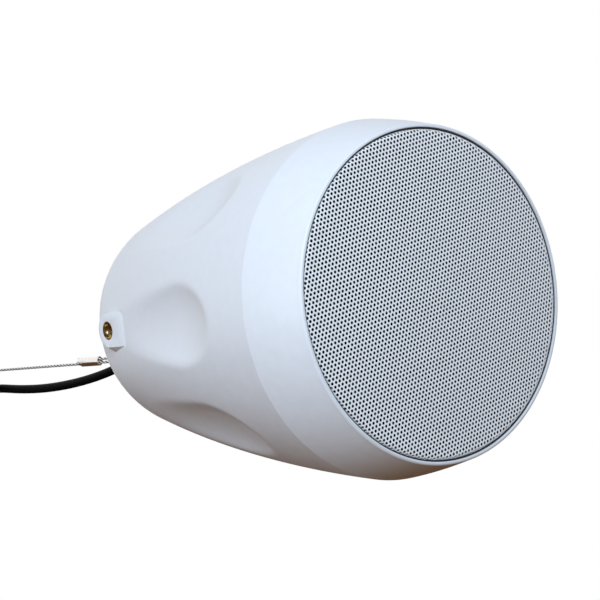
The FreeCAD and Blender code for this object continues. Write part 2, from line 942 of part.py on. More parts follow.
def make_transformer_bracket():
    """Folded steel bracket that hangs the transformer and the crossover from the plate."""
    back = bracket_x + bracket_sheet
    strip = block(
        bracket_x, back, -bracket_half_width, bracket_half_width,
        plate_inner - bracket_length, plate_inner,
    )
    foot = block(
        bracket_x, bracket_x + bracket_foot, -bracket_half_width, bracket_half_width,
        plate_inner - bracket_sheet, plate_inner,
    )
    winding_room = block(
        bracket_x - 1, back + 1, -2 * core_leg - 0.5, 2 * core_leg + 0.5,
        core_top - core_height + core_leg - 0.5, core_top - core_leg + 0.5,
    )
    holes = bracket_holes(m4_radius + fit_gap / 4, plate_inner - bracket_sheet - 1, plate_inner + 1)
    return one_solid(strip.fuse(foot).cut([winding_room] + holes))


def make_bracket_screws():
    screw = pan_screw(m4_radius, m4_head_radius, m4_head_height, rear_height, 8, -1)
    copies = []
    for side in (-1, 1):
        copy = screw.copy()
        copy.translate(Vector(bracket_screw_x, side * bracket_screw_y, 0))
        copies.append(copy)
    return Part.makeCompound(copies)


core_back_x = bracket_x - core_stack
core_bottom = core_top - core_height


def make_transformer_core():
    """Laminated core of the line transformer, with its two windows."""
    core = block(core_back_x, bracket_x, -core_half_width, core_half_width, core_bottom, core_top)
    windows = []
    for side in (-1, 1):
        near, far = sorted((side * core_leg, side * 2 * core_leg))
        windows.append(block(
            core_back_x - 1, bracket_x + 1, near, far, core_bottom + core_leg, core_top - core_leg
        ))
    return core.cut(windows)


def make_transformer_winding():
    """Taped winding round the core's middle leg."""
    half = 2 * core_leg - fit_gap
    low, high = core_bottom + core_leg + fit_gap, core_top - core_leg - fit_gap
    body = block(
        core_back_x - winding_bulge, bracket_x + winding_bulge, -half, half, low, high
    )
    body = body.makeFillet(
        winding_bulge * 0.6, [edge for edge in body.Edges if abs(edge.Vertexes[0].Z - edge.Vertexes[1].Z) > 1]
    )
    leg = block(
        core_back_x - fit_gap, bracket_x + fit_gap, -core_leg - fit_gap, core_leg + fit_gap, low - 1, high + 1
    )
    return body.cut(leg)


board_front_x = bracket_x + bracket_sheet + board_standoff
board_x = board_front_x + board_thickness
board_top = core_top + 10.0
board_bottom = board_top - board_height
spacer_y = bracket_half_width - 4.0


def make_crossover_board():
    """Circuit board of the crossover."""
    board = block(
        board_front_x, board_x, -board_half_width, board_half_width, board_bottom, board_top
    )
    return board


def make_board_spacers():
    """Spacers that stand the board off the bracket."""
    spacers = []
    for side in (-1, 1):
        for height in (board_bottom + 5, board_top - 5):
            start = Vector(bracket_x + bracket_sheet, side * spacer_y, height)
            spacers.append(Part.makeCylinder(2.5, board_standoff, start, Vector(1, 0, 0)))
    return Part.makeCompound(spacers)


def make_crossover_coils():
    """Two air-cored coils that stand on the board."""
    coils = []
    for side in (-1, 1):
        start = Vector(board_x, side * 11.0, board_bottom + 14)
        ring = Part.makeCylinder(8.8, 11.0, start, Vector(1, 0, 0))
        coils.append(ring.cut(Part.makeCylinder(3.5, 11.0, start, Vector(1, 0, 0))))
    return Part.makeCompound(coils)


def make_crossover_capacitors():
    """Two film capacitors that lie on the board."""
    capacitors = []
    for side in (-1, 1):
        start = Vector(board_x + 5.0, side * 14.0, board_bottom + 25)
        capacitors.append(Part.makeCylinder(5.0, 21.0, start, up))
    return Part.makeCompound(capacitors)


def make_terminal_block():
    """Screw terminal for the cable's cores, with a well over each screw."""
    body = block(board_x, board_x + 11, -8, 8, board_top - 12, board_top)
    wells = [
        Part.makeCylinder(2.2, 3.0, Vector(board_x + 11, side * 4.0, board_top - 6), Vector(-1, 0, 0))
        for side in (-1, 1)
    ]
    return body.cut(wells)


def path_wire(points):
    """Straight runs joined by tangent arcs as large as the runs allow.

    Returns the wire, its length and the arcs' radii.
    """
    edges, radii = [], []
    here = points[0]
    for index in range(1, len(points) - 1):
        before, corner, after = points[index - 1], points[index], points[index + 1]
        back, ahead = before - corner, after - corner
        half_turn = (math.pi - back.getAngle(ahead)) / 2
        tangent = 0.45 * min(back.Length, ahead.Length)
        radius = tangent / math.tan(half_turn)
        back.normalize()
        ahead.normalize()
        start, end = corner + back * tangent, corner + ahead * tangent
        inward = (back + ahead).normalize()
        middle = corner + inward * (radius / math.cos(half_turn) - radius)
        edges.append(Part.makeLine(here, start))
        edges.append(Part.Arc(start, middle, end).toShape())
        radii.append(radius)
        here = end
    edges.append(Part.makeLine(here, points[-1]))
    wire = Part.Wire(edges)
    return wire, sum(edge.Length for edge in edges), radii


def tube(name, points, radius):
    """Solid tube along a route, with its radii and its volume against section times length."""
    wire, length, radii = path_wire(points)
    direction = points[1] - points[0]
    section = Part.Wire(Part.makeCircle(radius, points[0], direction))
    solid = wire.makePipeShell([section], True, False)
    if solid.Volume < 0:
        solid.reverse()
    share = solid.Volume / (math.pi * radius ** 2 * length)
    print(name, "length", round(length, 1), "volume share", round(share, 4),
          "radii", [round(value, 1) for value in radii])
    return solid


def belt_face(x_a, y_a, radius_a, x_b, y_b, radius_b, height):
    """Flat face inside a belt round two circles, at a height."""
    gap = math.hypot(x_b - x_a, y_b - y_a)
    heading = math.atan2(y_b - y_a, x_b - x_a)
    lean = math.acos((radius_a - radius_b) / gap)

    def on(x, y, radius, angle):
        return Vector(x + radius * math.cos(angle), y + radius * math.sin(angle), height)

    first_a, last_a = on(x_a, y_a, radius_a, heading + lean), on(x_a, y_a, radius_a, heading - lean)
    first_b, last_b = on(x_b, y_b, radius_b, heading + lean), on(x_b, y_b, radius_b, heading - lean)
    return Part.Face(Part.Wire([
        Part.Arc(first_a, on(x_a, y_a, radius_a, heading + math.pi), last_a).toShape(),
        Part.makeLine(last_a, last_b),
        Part.Arc(last_b, on(x_b, y_b, radius_b, heading), first_b).toShape(),
        Part.makeLine(first_b, first_a),
    ]))


def sleeve(axis_x, axis_y, step_x, step_y, bottom, top):
    """Oval crimped sleeve round two strands that lie side by side."""
    ends = (axis_x - step_x, axis_y - step_y), (axis_x + step_x, axis_y + step_y)
    bore = rope_radius + ferrule_clearance
    outer = belt_face(*ends[0], bore + ferrule_wall, *ends[1], bore + ferrule_wall, bottom)
    inner = belt_face(*ends[0], bore, *ends[1], bore, bottom)
    return outer.extrude(up * (top - bottom)).cut(inner.extrude(up * (top - bottom)))


def make_lower_ferrule():
    """Crimped sleeve above the eye, cut to a slant where the rope's short end stops."""
    top = lower_ferrule_height + lower_ferrule_length
    body = sleeve(ferrule_axis_x, rope_y, strand_step / 2, 0, lower_ferrule_height, top)
    reach = 2 * ferrule_slant_width
    edge_x = ferrule_axis_x - strand_step / 2 - rope_radius - ferrule_clearance - ferrule_wall
    start_x = edge_x + ferrule_slant_width
    start_y = rope_y - reach
    slant = Part.Face(Part.makePolygon([
        Vector(start_x - reach, start_y, top - 2 * ferrule_slant_drop),
        Vector(start_x - reach, start_y, top + 1),
        Vector(start_x, start_y, top + 1),
        Vector(start_x, start_y, top),
        Vector(start_x - reach, start_y, top - 2 * ferrule_slant_drop),
    ])).extrude(Vector(0, 2 * reach, 0))
    return body.cut(slant)


def make_upper_ferrule():
    top = upper_ferrule_height + upper_ferrule_length
    return sleeve(rope_x, ferrule_axis_y, 0, strand_step / 2, upper_ferrule_height, top)


def rope_route():
    """Rope from its short end in the lower ferrule, round the eye, and up to the free loop."""
    short_x = rope_x + strand_step
    join_height = lower_ferrule_height - ferrule_to_eye
    loop_start = upper_ferrule_height + upper_ferrule_length + 11.5
    points = [
        Vector(short_x, rope_y, lower_ferrule_height + lower_ferrule_length - short_end_depth),
        Vector(short_x, rope_y, join_height),
    ]
    turn_radius = eye_wire_radius + rope_radius + seat_gap + 0.05
    turn_corner = turn_radius / math.cos(math.radians(24))
    for angle in (-18, -66, -114, -162):
        x = ferrule_axis_x + turn_corner * math.cos(math.radians(angle))
        height = eye_top_wire_height + turn_corner * math.sin(math.radians(angle))
        points.append(Vector(x, rope_y, height))
    points.append(Vector(rope_x, rope_y, join_height))
    points.append(Vector(rope_x, rope_y, loop_start))
    corner = loop_radius / math.cos(math.radians(22.5))
    for index in range(6):
        angle = math.radians(-22.5 + 45 * index)
        points.append(Vector(
            rope_x, ferrule_axis_y + corner * math.cos(angle), loop_height + corner * math.sin(angle)
        ))
    points.append(Vector(rope_x, rope_y - strand_step, loop_start))
    points.append(Vector(rope_x, rope_y - strand_step, upper_ferrule_height + 2.0))
    return points


# The cable's route from inside the gland to its coil, chosen by hand.
cable_route = [
    Vector(gland_x, gland_y, gland_shank_end),
    Vector(gland_x, gland_y, 299.0),
    Vector(-23.0, 12.0, 332.5),
    Vector(-31.0, 10.0, 359.0),
    Vector(-36.4, 6.9, 387.0),
    Vector(-39.5, 3.2, 416.0),
    Vector(-40.6, -1.2, 445.0),
    Vector(-39.3, -5.8, 472.0),
    Vector(-36.8, -10.0, 497.0),
]

# The cable's last stretch hangs from the coil's far side.
cable_end_route = [
    Vector(-38.5, -79.2, 499.2),
    Vector(-38.1, -80.0, 481.0),
    Vector(-38.1, -80.0, 463.0),
]

# The cores that stick out of the cable's end, and those that run inside to the terminal.
cable_core_route = [
    Vector(-38.1, -81.1, 463.0),
    Vector(-38.1, -81.1, 451.0),
    Vector(-36.9, -81.6, 439.0),
]
inner_core_route = [
    Vector(-18.8, 13.9, plate_inner - 9.0),
    Vector(-18.8, 13.9, plate_inner - 17.0),
    Vector(-14.0, 18.5, plate_inner - 22.5),
    Vector(-4.0, 23.5, plate_inner - 24.0),
    Vector(7.0, 24.0, plate_inner - 21.0),
    Vector(14.0, 18.0, plate_inner - 15.0),
    Vector(19.0, 11.0, plate_inner - 10.5),
    Vector(20.0, 4.0, plate_inner - 12.0),
    Vector(20.0, 4.0, plate_inner - 19.7),
]
inner_core_step = Vector(1.6, -1.8, 2.0)
speaker_lead_route = [
    Vector(15.8, -1.4, 201.0),
    Vector(17.5, -1.4, 190.0),
    Vector(30.0, -1.4, 176.0),
    Vector(46.0, -1.4, 148.0),
    Vector(52.0, -1.4, 118.0),
    Vector(54.5, -1.4, 88.0),
    Vector(53.5, -1.4, 64.0),
    Vector(51.5, -1.4, 44.5),
]
speaker_lead_step = Vector(0, 2.8, 0)


def pair(name, route, step, radius):
    """Two like wires side by side."""
    second = [point + step for point in route]
    return Part.makeCompound([tube(name, route, radius), tube(name, second, radius)])


def make_inner_cores():
    """The cable's cores inside the shell, from the gland to the terminal."""
    first = inner_core_route
    start_step = Vector(inner_core_step.x, inner_core_step.y, 0)
    second = [point + inner_core_step for point in first]
    second[0] = first[0] + start_step
    second[1] = first[1] + start_step
    second[-2] = first[-2] + Vector(0, -6.0, 2.0)
    second[-1] = first[-1] + Vector(0, -6.0, 0)
    return Part.makeCompound([
        tube("inner_cores", first, core_radius), tube("inner_cores", second, core_radius)
    ])


def make_cable_coil():
    """Outer shape of the spare cable, wound into a round coil."""
    return Part.makeTorus(
        coil_major_radius, coil_minor_radius, Vector(coil_x, coil_y, coil_z), Vector(1, 0, 0)
    )


def make_cable_tie():
    """Strap that ties the coil to the rope at its upper ferrule."""
    side_y = coil_y + coil_major_radius
    coil_reach = coil_minor_radius + seat_gap
    rope_reach = strand_step / 2 + rope_radius + ferrule_clearance + ferrule_wall + seat_gap
    bottom = coil_z - tie_width / 2
    outer = belt_face(
        coil_x, side_y, coil_reach + tie_thickness,
        rope_x, ferrule_axis_y, rope_reach + tie_thickness, bottom,
    ).extrude(up * tie_width)
    inner = belt_face(
        coil_x, side_y, coil_reach, rope_x, ferrule_axis_y, rope_reach, bottom
    ).extrude(up * tie_width)
    head_x = coil_x - coil_reach
    head = block(head_x - 4.5, head_x - 0.2, side_y - 3.0, side_y + 3.0, bottom - 0.8, bottom + tie_width + 0.8)
    return one_solid(outer.fuse(head).cut(inner))


os.makedirs("parts", exist_ok=True)

save("housing", make_housing())
save("front_ring", make_front_ring())
save("side_inserts", make_side_inserts())
save("grille", make_grille())
save("grille_cloth", make_grille_cloth())
save("front_baffle", make_front_baffle())
save("baffle_screws", make_baffle_screws())
save("driver_gasket", make_driver_gasket())
save("driver_basket", make_driver_basket())
save("driver_screws", make_driver_screws())
save("surround", make_surround())
save("cone", make_cone())
save("spider", make_spider())
save("voice_coil", make_voice_coil())
save("top_plate", make_top_plate())
save("magnet", make_magnet())
save("back_plate", make_back_plate())
save("tweeter_stem", make_tweeter_stem())
save("tweeter_housing", make_tweeter_housing())
save("tweeter_dome", make_tweeter_dome())
save("damping_wadding", make_damping_wadding())
save("rear_plate", make_rear_plate())
save("plate_seal", make_plate_seal())
save("plate_screws", make_plate_screws())
save("hanging_eye", make_hanging_eye())
save("eye_washer", make_eye_washer())
save("eye_nut", make_eye_nut())
save("gland_body", make_gland_body())
save("gland_cap", make_gland_cap())
save("gland_nut", make_gland_nut())
save("transformer_bracket", make_transformer_bracket())
save("bracket_screws", make_bracket_screws())
save("transformer_core", make_transformer_core())
save("transformer_winding", make_transformer_winding())
save("crossover_board", make_crossover_board())
save("board_spacers", make_board_spacers())
save("crossover_coils", make_crossover_coils())
save("crossover_capacitors", make_crossover_capacitors())
save("terminal_block", make_terminal_block())
save("inner_cores", make_inner_cores())
save("speaker_leads", pair("speaker_leads", speaker_lead_route, speaker_lead_step, core_radius))
save("rope", tube("rope", rope_route(), rope_radius))
save("lower_ferrule", make_lower_ferrule())
save("upper_ferrule", make_upper_ferrule())
save("cable", tube("cable", cable_route, cable_radius))
save("cable_coil", make_cable_coil())
save("cable_end", tube("cable_end", cable_end_route, cable_radius))
save("cable_cores", pair("cable_cores", cable_core_route, Vector(0, 2.2, 0), core_radius))
save("cable_tie", make_cable_tie())
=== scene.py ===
import bmesh
import bpy
import json
import math
from mathutils import Matrix, Vector
from mathutils.kdtree import KDTree


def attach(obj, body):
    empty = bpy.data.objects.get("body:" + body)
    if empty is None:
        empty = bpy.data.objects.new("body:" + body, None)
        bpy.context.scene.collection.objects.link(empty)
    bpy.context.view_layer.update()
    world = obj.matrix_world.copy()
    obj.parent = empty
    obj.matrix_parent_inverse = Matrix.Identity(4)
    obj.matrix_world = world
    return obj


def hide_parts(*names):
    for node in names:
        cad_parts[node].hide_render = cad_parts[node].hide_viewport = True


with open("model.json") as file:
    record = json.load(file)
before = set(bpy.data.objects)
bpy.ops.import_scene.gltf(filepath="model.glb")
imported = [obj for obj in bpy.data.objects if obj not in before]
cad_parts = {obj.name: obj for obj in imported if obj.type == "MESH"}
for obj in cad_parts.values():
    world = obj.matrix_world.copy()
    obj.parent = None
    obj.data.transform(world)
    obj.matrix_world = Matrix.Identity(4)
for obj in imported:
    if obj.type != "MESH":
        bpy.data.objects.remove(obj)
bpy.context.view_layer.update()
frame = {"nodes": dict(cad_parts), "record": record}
nodes = frame["nodes"]
print("stage: frame loaded,", len(nodes), "nodes")

# Pieces are made in the speaker's own frame, in millimetres: its axis at x = y = 0 and
# heights up from the grille's rim. The hanging loop is the part's origin.
hangPoint = Vector((-22.8, -13.15, 576.0))
toPart = Matrix.Scale(0.001, 4) @ Matrix.Translation(-hangPoint)


def spot(x, y, z):
    return toPart @ Vector((x, y, z))


# Camera

view = {
    "lens": 105.08,
    "sensor": 36.0,
    "place": (12.96, -638.13, -709.96),
    "right": (-0.121059, 0.787147, -0.604768),
    "down": (-0.992614, -0.100802, 0.067496),
    "ahead": (-0.007833, 0.608472, 0.793537),
    "nearest": 0.02,
    "farthest": 20.0,
}


def makeCamera():
    data = bpy.data.cameras.new("camera")
    data.lens = view["lens"]
    data.sensor_width = view["sensor"]
    data.clip_start = view["nearest"]
    data.clip_end = view["farthest"]
    camera = bpy.data.objects.new("camera", data)
    bpy.context.scene.collection.objects.link(camera)
    right, down, ahead = Vector(view["right"]), Vector(view["down"]), Vector(view["ahead"])
    turn = Matrix((right, -down, -ahead)).transposed().to_4x4()
    camera.matrix_world = Matrix.Translation(spot(*view["place"])) @ turn
    bpy.context.scene.camera = camera


makeCamera()

# Finishes

finishes = {}

# How a finish varies over a piece: its roughness either way, and a finer bump
variation = {
    "noiseSpan": (0.3, 0.7),
    "smoother": 0.05,
    "rougher": 0.06,
    "fineScale": 6,
    "fineDetail": 2.0,
    "bumpStrength": 0.25,
}

# The rope's look: painted shade in the grooves between the strands, through a mesh attribute
strandLook = {
    "attribute": "crest",
    "specular": 0.3,
    "grainScale": 900.0,
    "dark": 0.1,
    "light": 0.9,
}

clothLook = {
    "color": (0.006, 0.006, 0.007),
    "roughness": 0.95,
    "specular": 0.1,
    "weaveScale": 900.0,
    "bumpStrength": 0.4,
    "bumpHeight": 0.0001,
}


def newFinish(name, color, roughness, metallic=0.0, specular=0.5, sheen=0.0):
    material = bpy.data.materials.new(name)
    material.use_nodes = True
    shader = material.node_tree.nodes["Principled BSDF"]
    shader.inputs["Base Color"].default_value = (*color, 1)
    shader.inputs["Roughness"].default_value = roughness
    shader.inputs["Metallic"].default_value = metallic
    shader.inputs["Specular IOR Level"].default_value = specular
    shader.inputs["Sheen Weight"].default_value = sheen
    material.diffuse_color = (*color, 1)
    finishes[name] = material
    return material


def objectNoise(material, scale, detail=3.0):
    tree = material.node_tree
    where = tree.nodes.new("ShaderNodeTexCoord")
    grain = tree.nodes.new("ShaderNodeTexNoise")
    grain.inputs["Scale"].default_value = scale
    grain.inputs["Detail"].default_value = detail
    tree.links.new(where.outputs["Object"], grain.inputs["Vector"])
    return grain


def colorSpread(material, grain, darkColor, lightColor, low=0.35, high=0.65):
    tree = material.node_tree
    ramp = tree.nodes.new("ShaderNodeValToRGB")
    ramp.color_ramp.elements[0].position = low
    ramp.color_ramp.elements[1].position = high
    ramp.color_ramp.elements[0].color = (*darkColor, 1)
    ramp.color_ramp.elements[1].color = (*lightColor, 1)
    tree.links.new(grain.outputs["Fac"], ramp.inputs["Fac"])
    tree.links.new(ramp.outputs["Color"], tree.nodes["Principled BSDF"].inputs["Base Color"])


def roughnessSpread(material, grain, roughness):
    low, high = roughness - variation["smoother"], roughness + variation["rougher"]
    tree = material.node_tree
    span = tree.nodes.new("ShaderNodeMapRange")
    span.inputs["From Min"].default_value = variation["noiseSpan"][0]
    span.inputs["From Max"].default_value = variation["noiseSpan"][1]
    span.inputs["To Min"].default_value = low
    span.inputs["To Max"].default_value = high
    tree.links.new(grain.outputs["Fac"], span.inputs["Value"])
    tree.links.new(span.outputs["Result"], tree.nodes["Principled BSDF"].inputs["Roughness"])


def surfaceBump(material, height, strength, distance):
    tree = material.node_tree
    bump = tree.nodes.new("ShaderNodeBump")
    bump.inputs["Strength"].default_value = strength
    bump.inputs["Distance"].default_value = distance
    tree.links.new(height, bump.inputs["Height"])
    tree.links.new(bump.outputs["Normal"], tree.nodes["Principled BSDF"].inputs["Normal"])


def shade(color, factor):
    return tuple(channel * factor for channel in color)


def plainFinish(name, color, roughness, grainScale, bumpHeight, metallic=0.0, spread=0.06,
                **more):
    material = newFinish(name, color, roughness, metallic, **more)
    grain = objectNoise(material, grainScale)
    colorSpread(material, grain, shade(color, 1 - spread), shade(color, 1 + spread))
    roughnessSpread(material, grain, roughness)
    fine = objectNoise(material, grainScale * variation["fineScale"], variation["fineDetail"])
    surfaceBump(material, fine.outputs["Fac"], variation["bumpStrength"], bumpHeight)


def strandShadeFinish(name, paintedGrooveShade, crestColor, roughness, metallic):
    # painted shade: dark between the strands, by an attribute on the rope's mesh
    material = newFinish(name, crestColor, roughness, metallic, strandLook["specular"])
    depth = material.node_tree.nodes.new("ShaderNodeAttribute")
    depth.attribute_name = strandLook["attribute"]
    colorSpread(material, depth, paintedGrooveShade, crestColor, strandLook["dark"], strandLook["light"])
    roughnessSpread(material, objectNoise(material, strandLook["grainScale"]), roughness)


def clothFinish(name):
    look = clothLook
    material = newFinish(name, look["color"], look["roughness"], specular=look["specular"])
    tree = material.node_tree
    weave = tree.nodes.new("ShaderNodeTexWave")
    weave.inputs["Scale"].default_value = look["weaveScale"]
    where = tree.nodes.new("ShaderNodeTexCoord")
    tree.links.new(where.outputs["Object"], weave.inputs["Vector"])
    surfaceBump(material, weave.outputs["Fac"], look["bumpStrength"], look["bumpHeight"])


def makeFinishes():
    plainFinish("mouldedWhite", (0.78, 0.825, 0.885), 0.42, 160.0, 0.00004, spread=0.012)
    plainFinish("grillePaint", (0.93, 0.95, 0.98), 0.45, 220.0, 0.00003, spread=0.015)
    plainFinish("plateWhite", (0.78, 0.80, 0.82), 0.5, 300.0, 0.00006, spread=0.015)
    plainFinish("glandWhite", (0.72, 0.74, 0.76), 0.5, 200.0, 0.00004, spread=0.02)
    plainFinish("machinedBrass", (0.31, 0.22, 0.105), 0.27, 400.0, 0.00002, metallic=1.0)
    # the rope's near-black first colour is painted shade in the grooves between the strands
    strandShadeFinish("ropeSteelShadedGrooves", (0.01, 0.01, 0.01), (0.9, 0.9, 0.89), 0.42, 0.6)
    plainFinish("polishedFerrule", (0.88, 0.86, 0.84), 0.16, 300.0, 0.00003, metallic=1.0)
    plainFinish("zincSteel", (0.60, 0.61, 0.63), 0.30, 300.0, 0.00003, metallic=1.0, spread=0.1)
    plainFinish("cablePvc", (0.0025, 0.0025, 0.003), 0.46, 250.0, 0.00004,
                spread=0.1, specular=0.04)
    plainFinish("coreInsulation", (0.32, 0.03, 0.025), 0.4, 400.0, 0.00002)
    plainFinish("sealedBoard", (0.13, 0.10, 0.075), 0.6, 120.0, 0.0001, spread=0.2)
    plainFinish("blackPaint", (0.02, 0.02, 0.02), 0.4, 300.0, 0.00003)
    plainFinish("conePaper", (0.045, 0.045, 0.05), 0.8, 350.0, 0.0001, spread=0.2)
    plainFinish("softRubber", (0.02, 0.02, 0.02), 0.6, 200.0, 0.00004)
    plainFinish("spiderCloth", (0.50, 0.30, 0.08), 0.8, 500.0, 0.0001, spread=0.15, sheen=0.2)
    plainFinish("woundCopper", (0.52, 0.22, 0.09), 0.3, 900.0, 0.00005, metallic=1.0)
    plainFinish("ferrite", (0.05, 0.05, 0.055), 0.55, 260.0, 0.00008, spread=0.15)
    plainFinish("blackPlastic", (0.018, 0.018, 0.019), 0.45, 260.0, 0.00004)
    plainFinish("whiteFibre", (0.78, 0.78, 0.75), 0.92, 300.0, 0.0012, spread=0.1, sheen=0.3)
    plainFinish("laminatedIron", (0.18, 0.17, 0.16), 0.45, 500.0, 0.00005, metallic=1.0)
    plainFinish("yellowTape", (0.62, 0.45, 0.04), 0.45, 200.0, 0.00004)
    plainFinish("greenBoard", (0.015, 0.13, 0.05), 0.35, 200.0, 0.00004)
    plainFinish("dippedFilm", (0.50, 0.28, 0.03), 0.25, 200.0, 0.00004)
    plainFinish("greenTerminal", (0.02, 0.18, 0.06), 0.35, 200.0, 0.00003)
    clothFinish("grilleCloth")


makeFinishes()

# Which finish each material slot of the record takes
slotFinish = {
    "enclosure_white": "mouldedWhite",
    "grille_steel": "grillePaint",
    "grille_cloth": "grilleCloth",
    "insert_brass": "machinedBrass",
    "rope_steel": "ropeSteelShadedGrooves",
    "ferrule_metal": "polishedFerrule",
    "zinc_steel": "zincSteel",
    "cable_black": "cablePvc",
    "core_copper": "coreInsulation",
    "baffle_board": "sealedBoard",
    "basket_steel": "blackPaint",
    "cone_paper": "conePaper",
    "soft_rubber": "softRubber",
    "spider_cloth": "spiderCloth",
    "voice_coil": "woundCopper",
    "magnet_ferrite": "ferrite",
    "tweeter_plastic": "blackPlastic",
    "wadding_fibre": "whiteFibre",
    "plate_white": "plateWhite",
    "gland_plastic": "glandWhite",
    "core_iron": "laminatedIron",
    "winding_tape": "yellowTape",
    "board_green": "greenBoard",
    "coil_copper": "woundCopper",
    "capacitor_film": "dippedFilm",
    "terminal_plastic": "greenTerminal",
}


def dressNodes():
    for part in frame["record"]["subparts"]:
        data = nodes[part["node"]].data
        data.materials.clear()
        data.materials.append(finishes[slotFinish[part["material_slot"]]])


dressNodes()
print("stage: materials")

# Steps that several pieces share, and the distances and facings that they test against

limits = {
    "weld": 0.0001,
    "near": 0.01,
    "clear": 0.1,
    "wallFacing": 0.5,
}


def dressPiece(piece, slotName, replaced=()):
    piece.data.materials.clear()
    piece.data.materials.append(finishes[slotFinish[slotName]])
    bpy.context.scene.collection.objects.link(piece)
    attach(piece, "root")
    if replaced:
        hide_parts(*replaced)
    return piece


def keepPiece(bm, name, slotName, replaced=(), smoothAngle=35.0):
    bmesh.ops.transform(bm, matrix=toPart, verts=bm.verts)
    data = bpy.data.meshes.new(name)
    bm.to_mesh(data)
    bm.free()
    data.shade_smooth()
    data.set_sharp_from_angle(angle=math.radians(smoothAngle))
    return dressPiece(bpy.data.objects.new(name, data), slotName, replaced)


def newVerts(result, group="geom"):
    return [item for item in result[group] if isinstance(item, bmesh.types.BMVert)]


def addOpposite(bm):
    # the same shape again, half a turn round the axis
    copied = bmesh.ops.duplicate(bm, geom=bm.verts[:] + bm.edges[:] + bm.faces[:])
    bmesh.ops.rotate(bm, cent=(0, 0, 0), matrix=Matrix.Rotation(math.pi, 3, "Z"),
                     verts=newVerts(copied))


def spinProfile(profile, steps):
    bm = bmesh.new()
    corners = [bm.verts.new((r, 0, z)) for r, z in profile]
    edges = [bm.edges.new(pair) for pair in zip(corners, corners[1:])]
    edges.append(bm.edges.new((corners[-1], corners[0])))
    bmesh.ops.spin(
        bm, geom=corners + edges, cent=(0, 0, 0), axis=(0, 0, 1), dvec=(0, 0, 0),
        angle=2 * math.pi, steps=steps, use_merge=True, use_normal_flip=False,
        use_duplicate=False,
    )
    bmesh.ops.remove_doubles(bm, verts=bm.verts, dist=limits["weld"])
    bmesh.ops.recalc_face_normals(bm, faces=bm.faces)
    return bm


def softEdges(bm, edges, size):
    bmesh.ops.bevel(bm, geom=edges, offset=size, segments=2, profile=0.5, affect="EDGES",
                    material=-1, clamp_overlap=True)


# Cable: one curve from the gland to the bare end, with its spare length in a tied coil

cable = {
    "radius": 3.25,
    "resolution": 8,
    "route": [
        (-18.0, 13.0, 258.0), (-18.0, 13.0, 299.0), (-22.6, 12.0, 332.5), (-29.9, 10.0, 359.0),
        (-35.0, 6.9, 387.0), (-38.3, 3.2, 416.0), (-39.7, -1.2, 445.0), (-39.0, -5.8, 472.0),
        (-36.8, -10.0, 497.0),
    ],
    "coilCentre": (-34.0, -45.0, 525.0),
    "coilRadius": 33.5,
    "bundleRadius": 5.15,
    "turns": 4.5,
    "pointsPerTurn": 16,
    "firstAngle": -40.0,
    "anglePerTurn": 72,
    "bevelResolution": 5,
    "end": [(-38.5, -79.2, 499.2), (-38.1, -80.0, 481.0), (-38.1, -80.0, 463.0)],
}


def coilPoints():
    x, y, z = cable["coilCentre"]
    count = int(cable["turns"] * cable["pointsPerTurn"])
    points = []
    for index in range(count + 1):
        turned = index / cable["pointsPerTurn"]
        angle = 2 * math.pi * turned
        across = math.radians(cable["firstAngle"] + cable["anglePerTurn"] * turned)
        radius = cable["coilRadius"] + cable["bundleRadius"] * math.cos(across)
        side = cable["bundleRadius"] * math.sin(across)
        points.append((x + side, y + radius * math.cos(angle), z + radius * math.sin(angle)))
    return points


def routeCurve(name, points, resolution):
    curve = bpy.data.curves.new(name, "CURVE")
    curve.dimensions = "3D"
    curve.resolution_u = resolution
    spline = curve.splines.new("NURBS")
    spline.points.add(len(points) - 1)
    for control, point in zip(spline.points, points):
        control.co = (*spot(*point), 1)
    spline.order_u = 3
    spline.use_endpoint_u = True
    return bpy.data.objects.new(name, curve)


def lengthOf(points):
    return sum((after - before).length for before, after in zip(points, points[1:]))


def routePoints(route):
    line = bpy.data.meshes.new_from_object(route)
    points = [vertex.co.copy() for vertex in line.vertices]
    bpy.data.meshes.remove(line)
    return points


def makeCable():
    route = cable["route"] + coilPoints() + cable["end"]
    piece = routeCurve("cableLead", route, cable["resolution"])
    length = lengthOf(routePoints(piece))
    piece.data.bevel_depth = cable["radius"] / 1000
    piece.data.bevel_resolution = cable["bevelResolution"]
    piece.data.use_fill_caps = True
    dressPiece(piece, "cable_black", ["cable", "cable_coil", "cable_end"])
    print("cable length", round(length, 3))


makeCable()
print("stage: cable")

# Ferrules: oval sleeves pressed round both runs of the rope, the lower one cut slanting

ferrule = {
    "halfWidth": 3.25,
    "halfDepth": 2.1,
    "wall": 0.75,
    "hollow": 2.5,
    "edgeRound": 0.3,
    "sides": 64,
    "lowerPlace": (-21.65, -12.0, 341.5),
    "lowerLength": 29.0,
    "slantWidth": 3.85,
    "slantDrop": 5.5,
    "upperPlace": (-22.8, -13.15, 504.0),
    "upperLength": 25.0,
    "endFacing": 0.3,
    "sharpAngle": 0.6,
    "rimShare": 0.98,
}


def hollowEnd(bm, faces, way):
    rim = bmesh.ops.inset_region(bm, faces=faces, thickness=ferrule["wall"], depth=0,
                                 use_boundary=True, use_even_offset=True)
    inner = [face for face in faces if face.is_valid and face not in rim["faces"]]
    grown = bmesh.ops.extrude_face_region(bm, geom=inner)
    bmesh.ops.translate(bm, vec=(0, 0, way * ferrule["hollow"]), verts=newVerts(grown))


def onSleeve(vert):
    across = (vert.co.x / ferrule["halfWidth"]) ** 2 + (vert.co.y / ferrule["halfDepth"]) ** 2
    return across > ferrule["rimShare"]


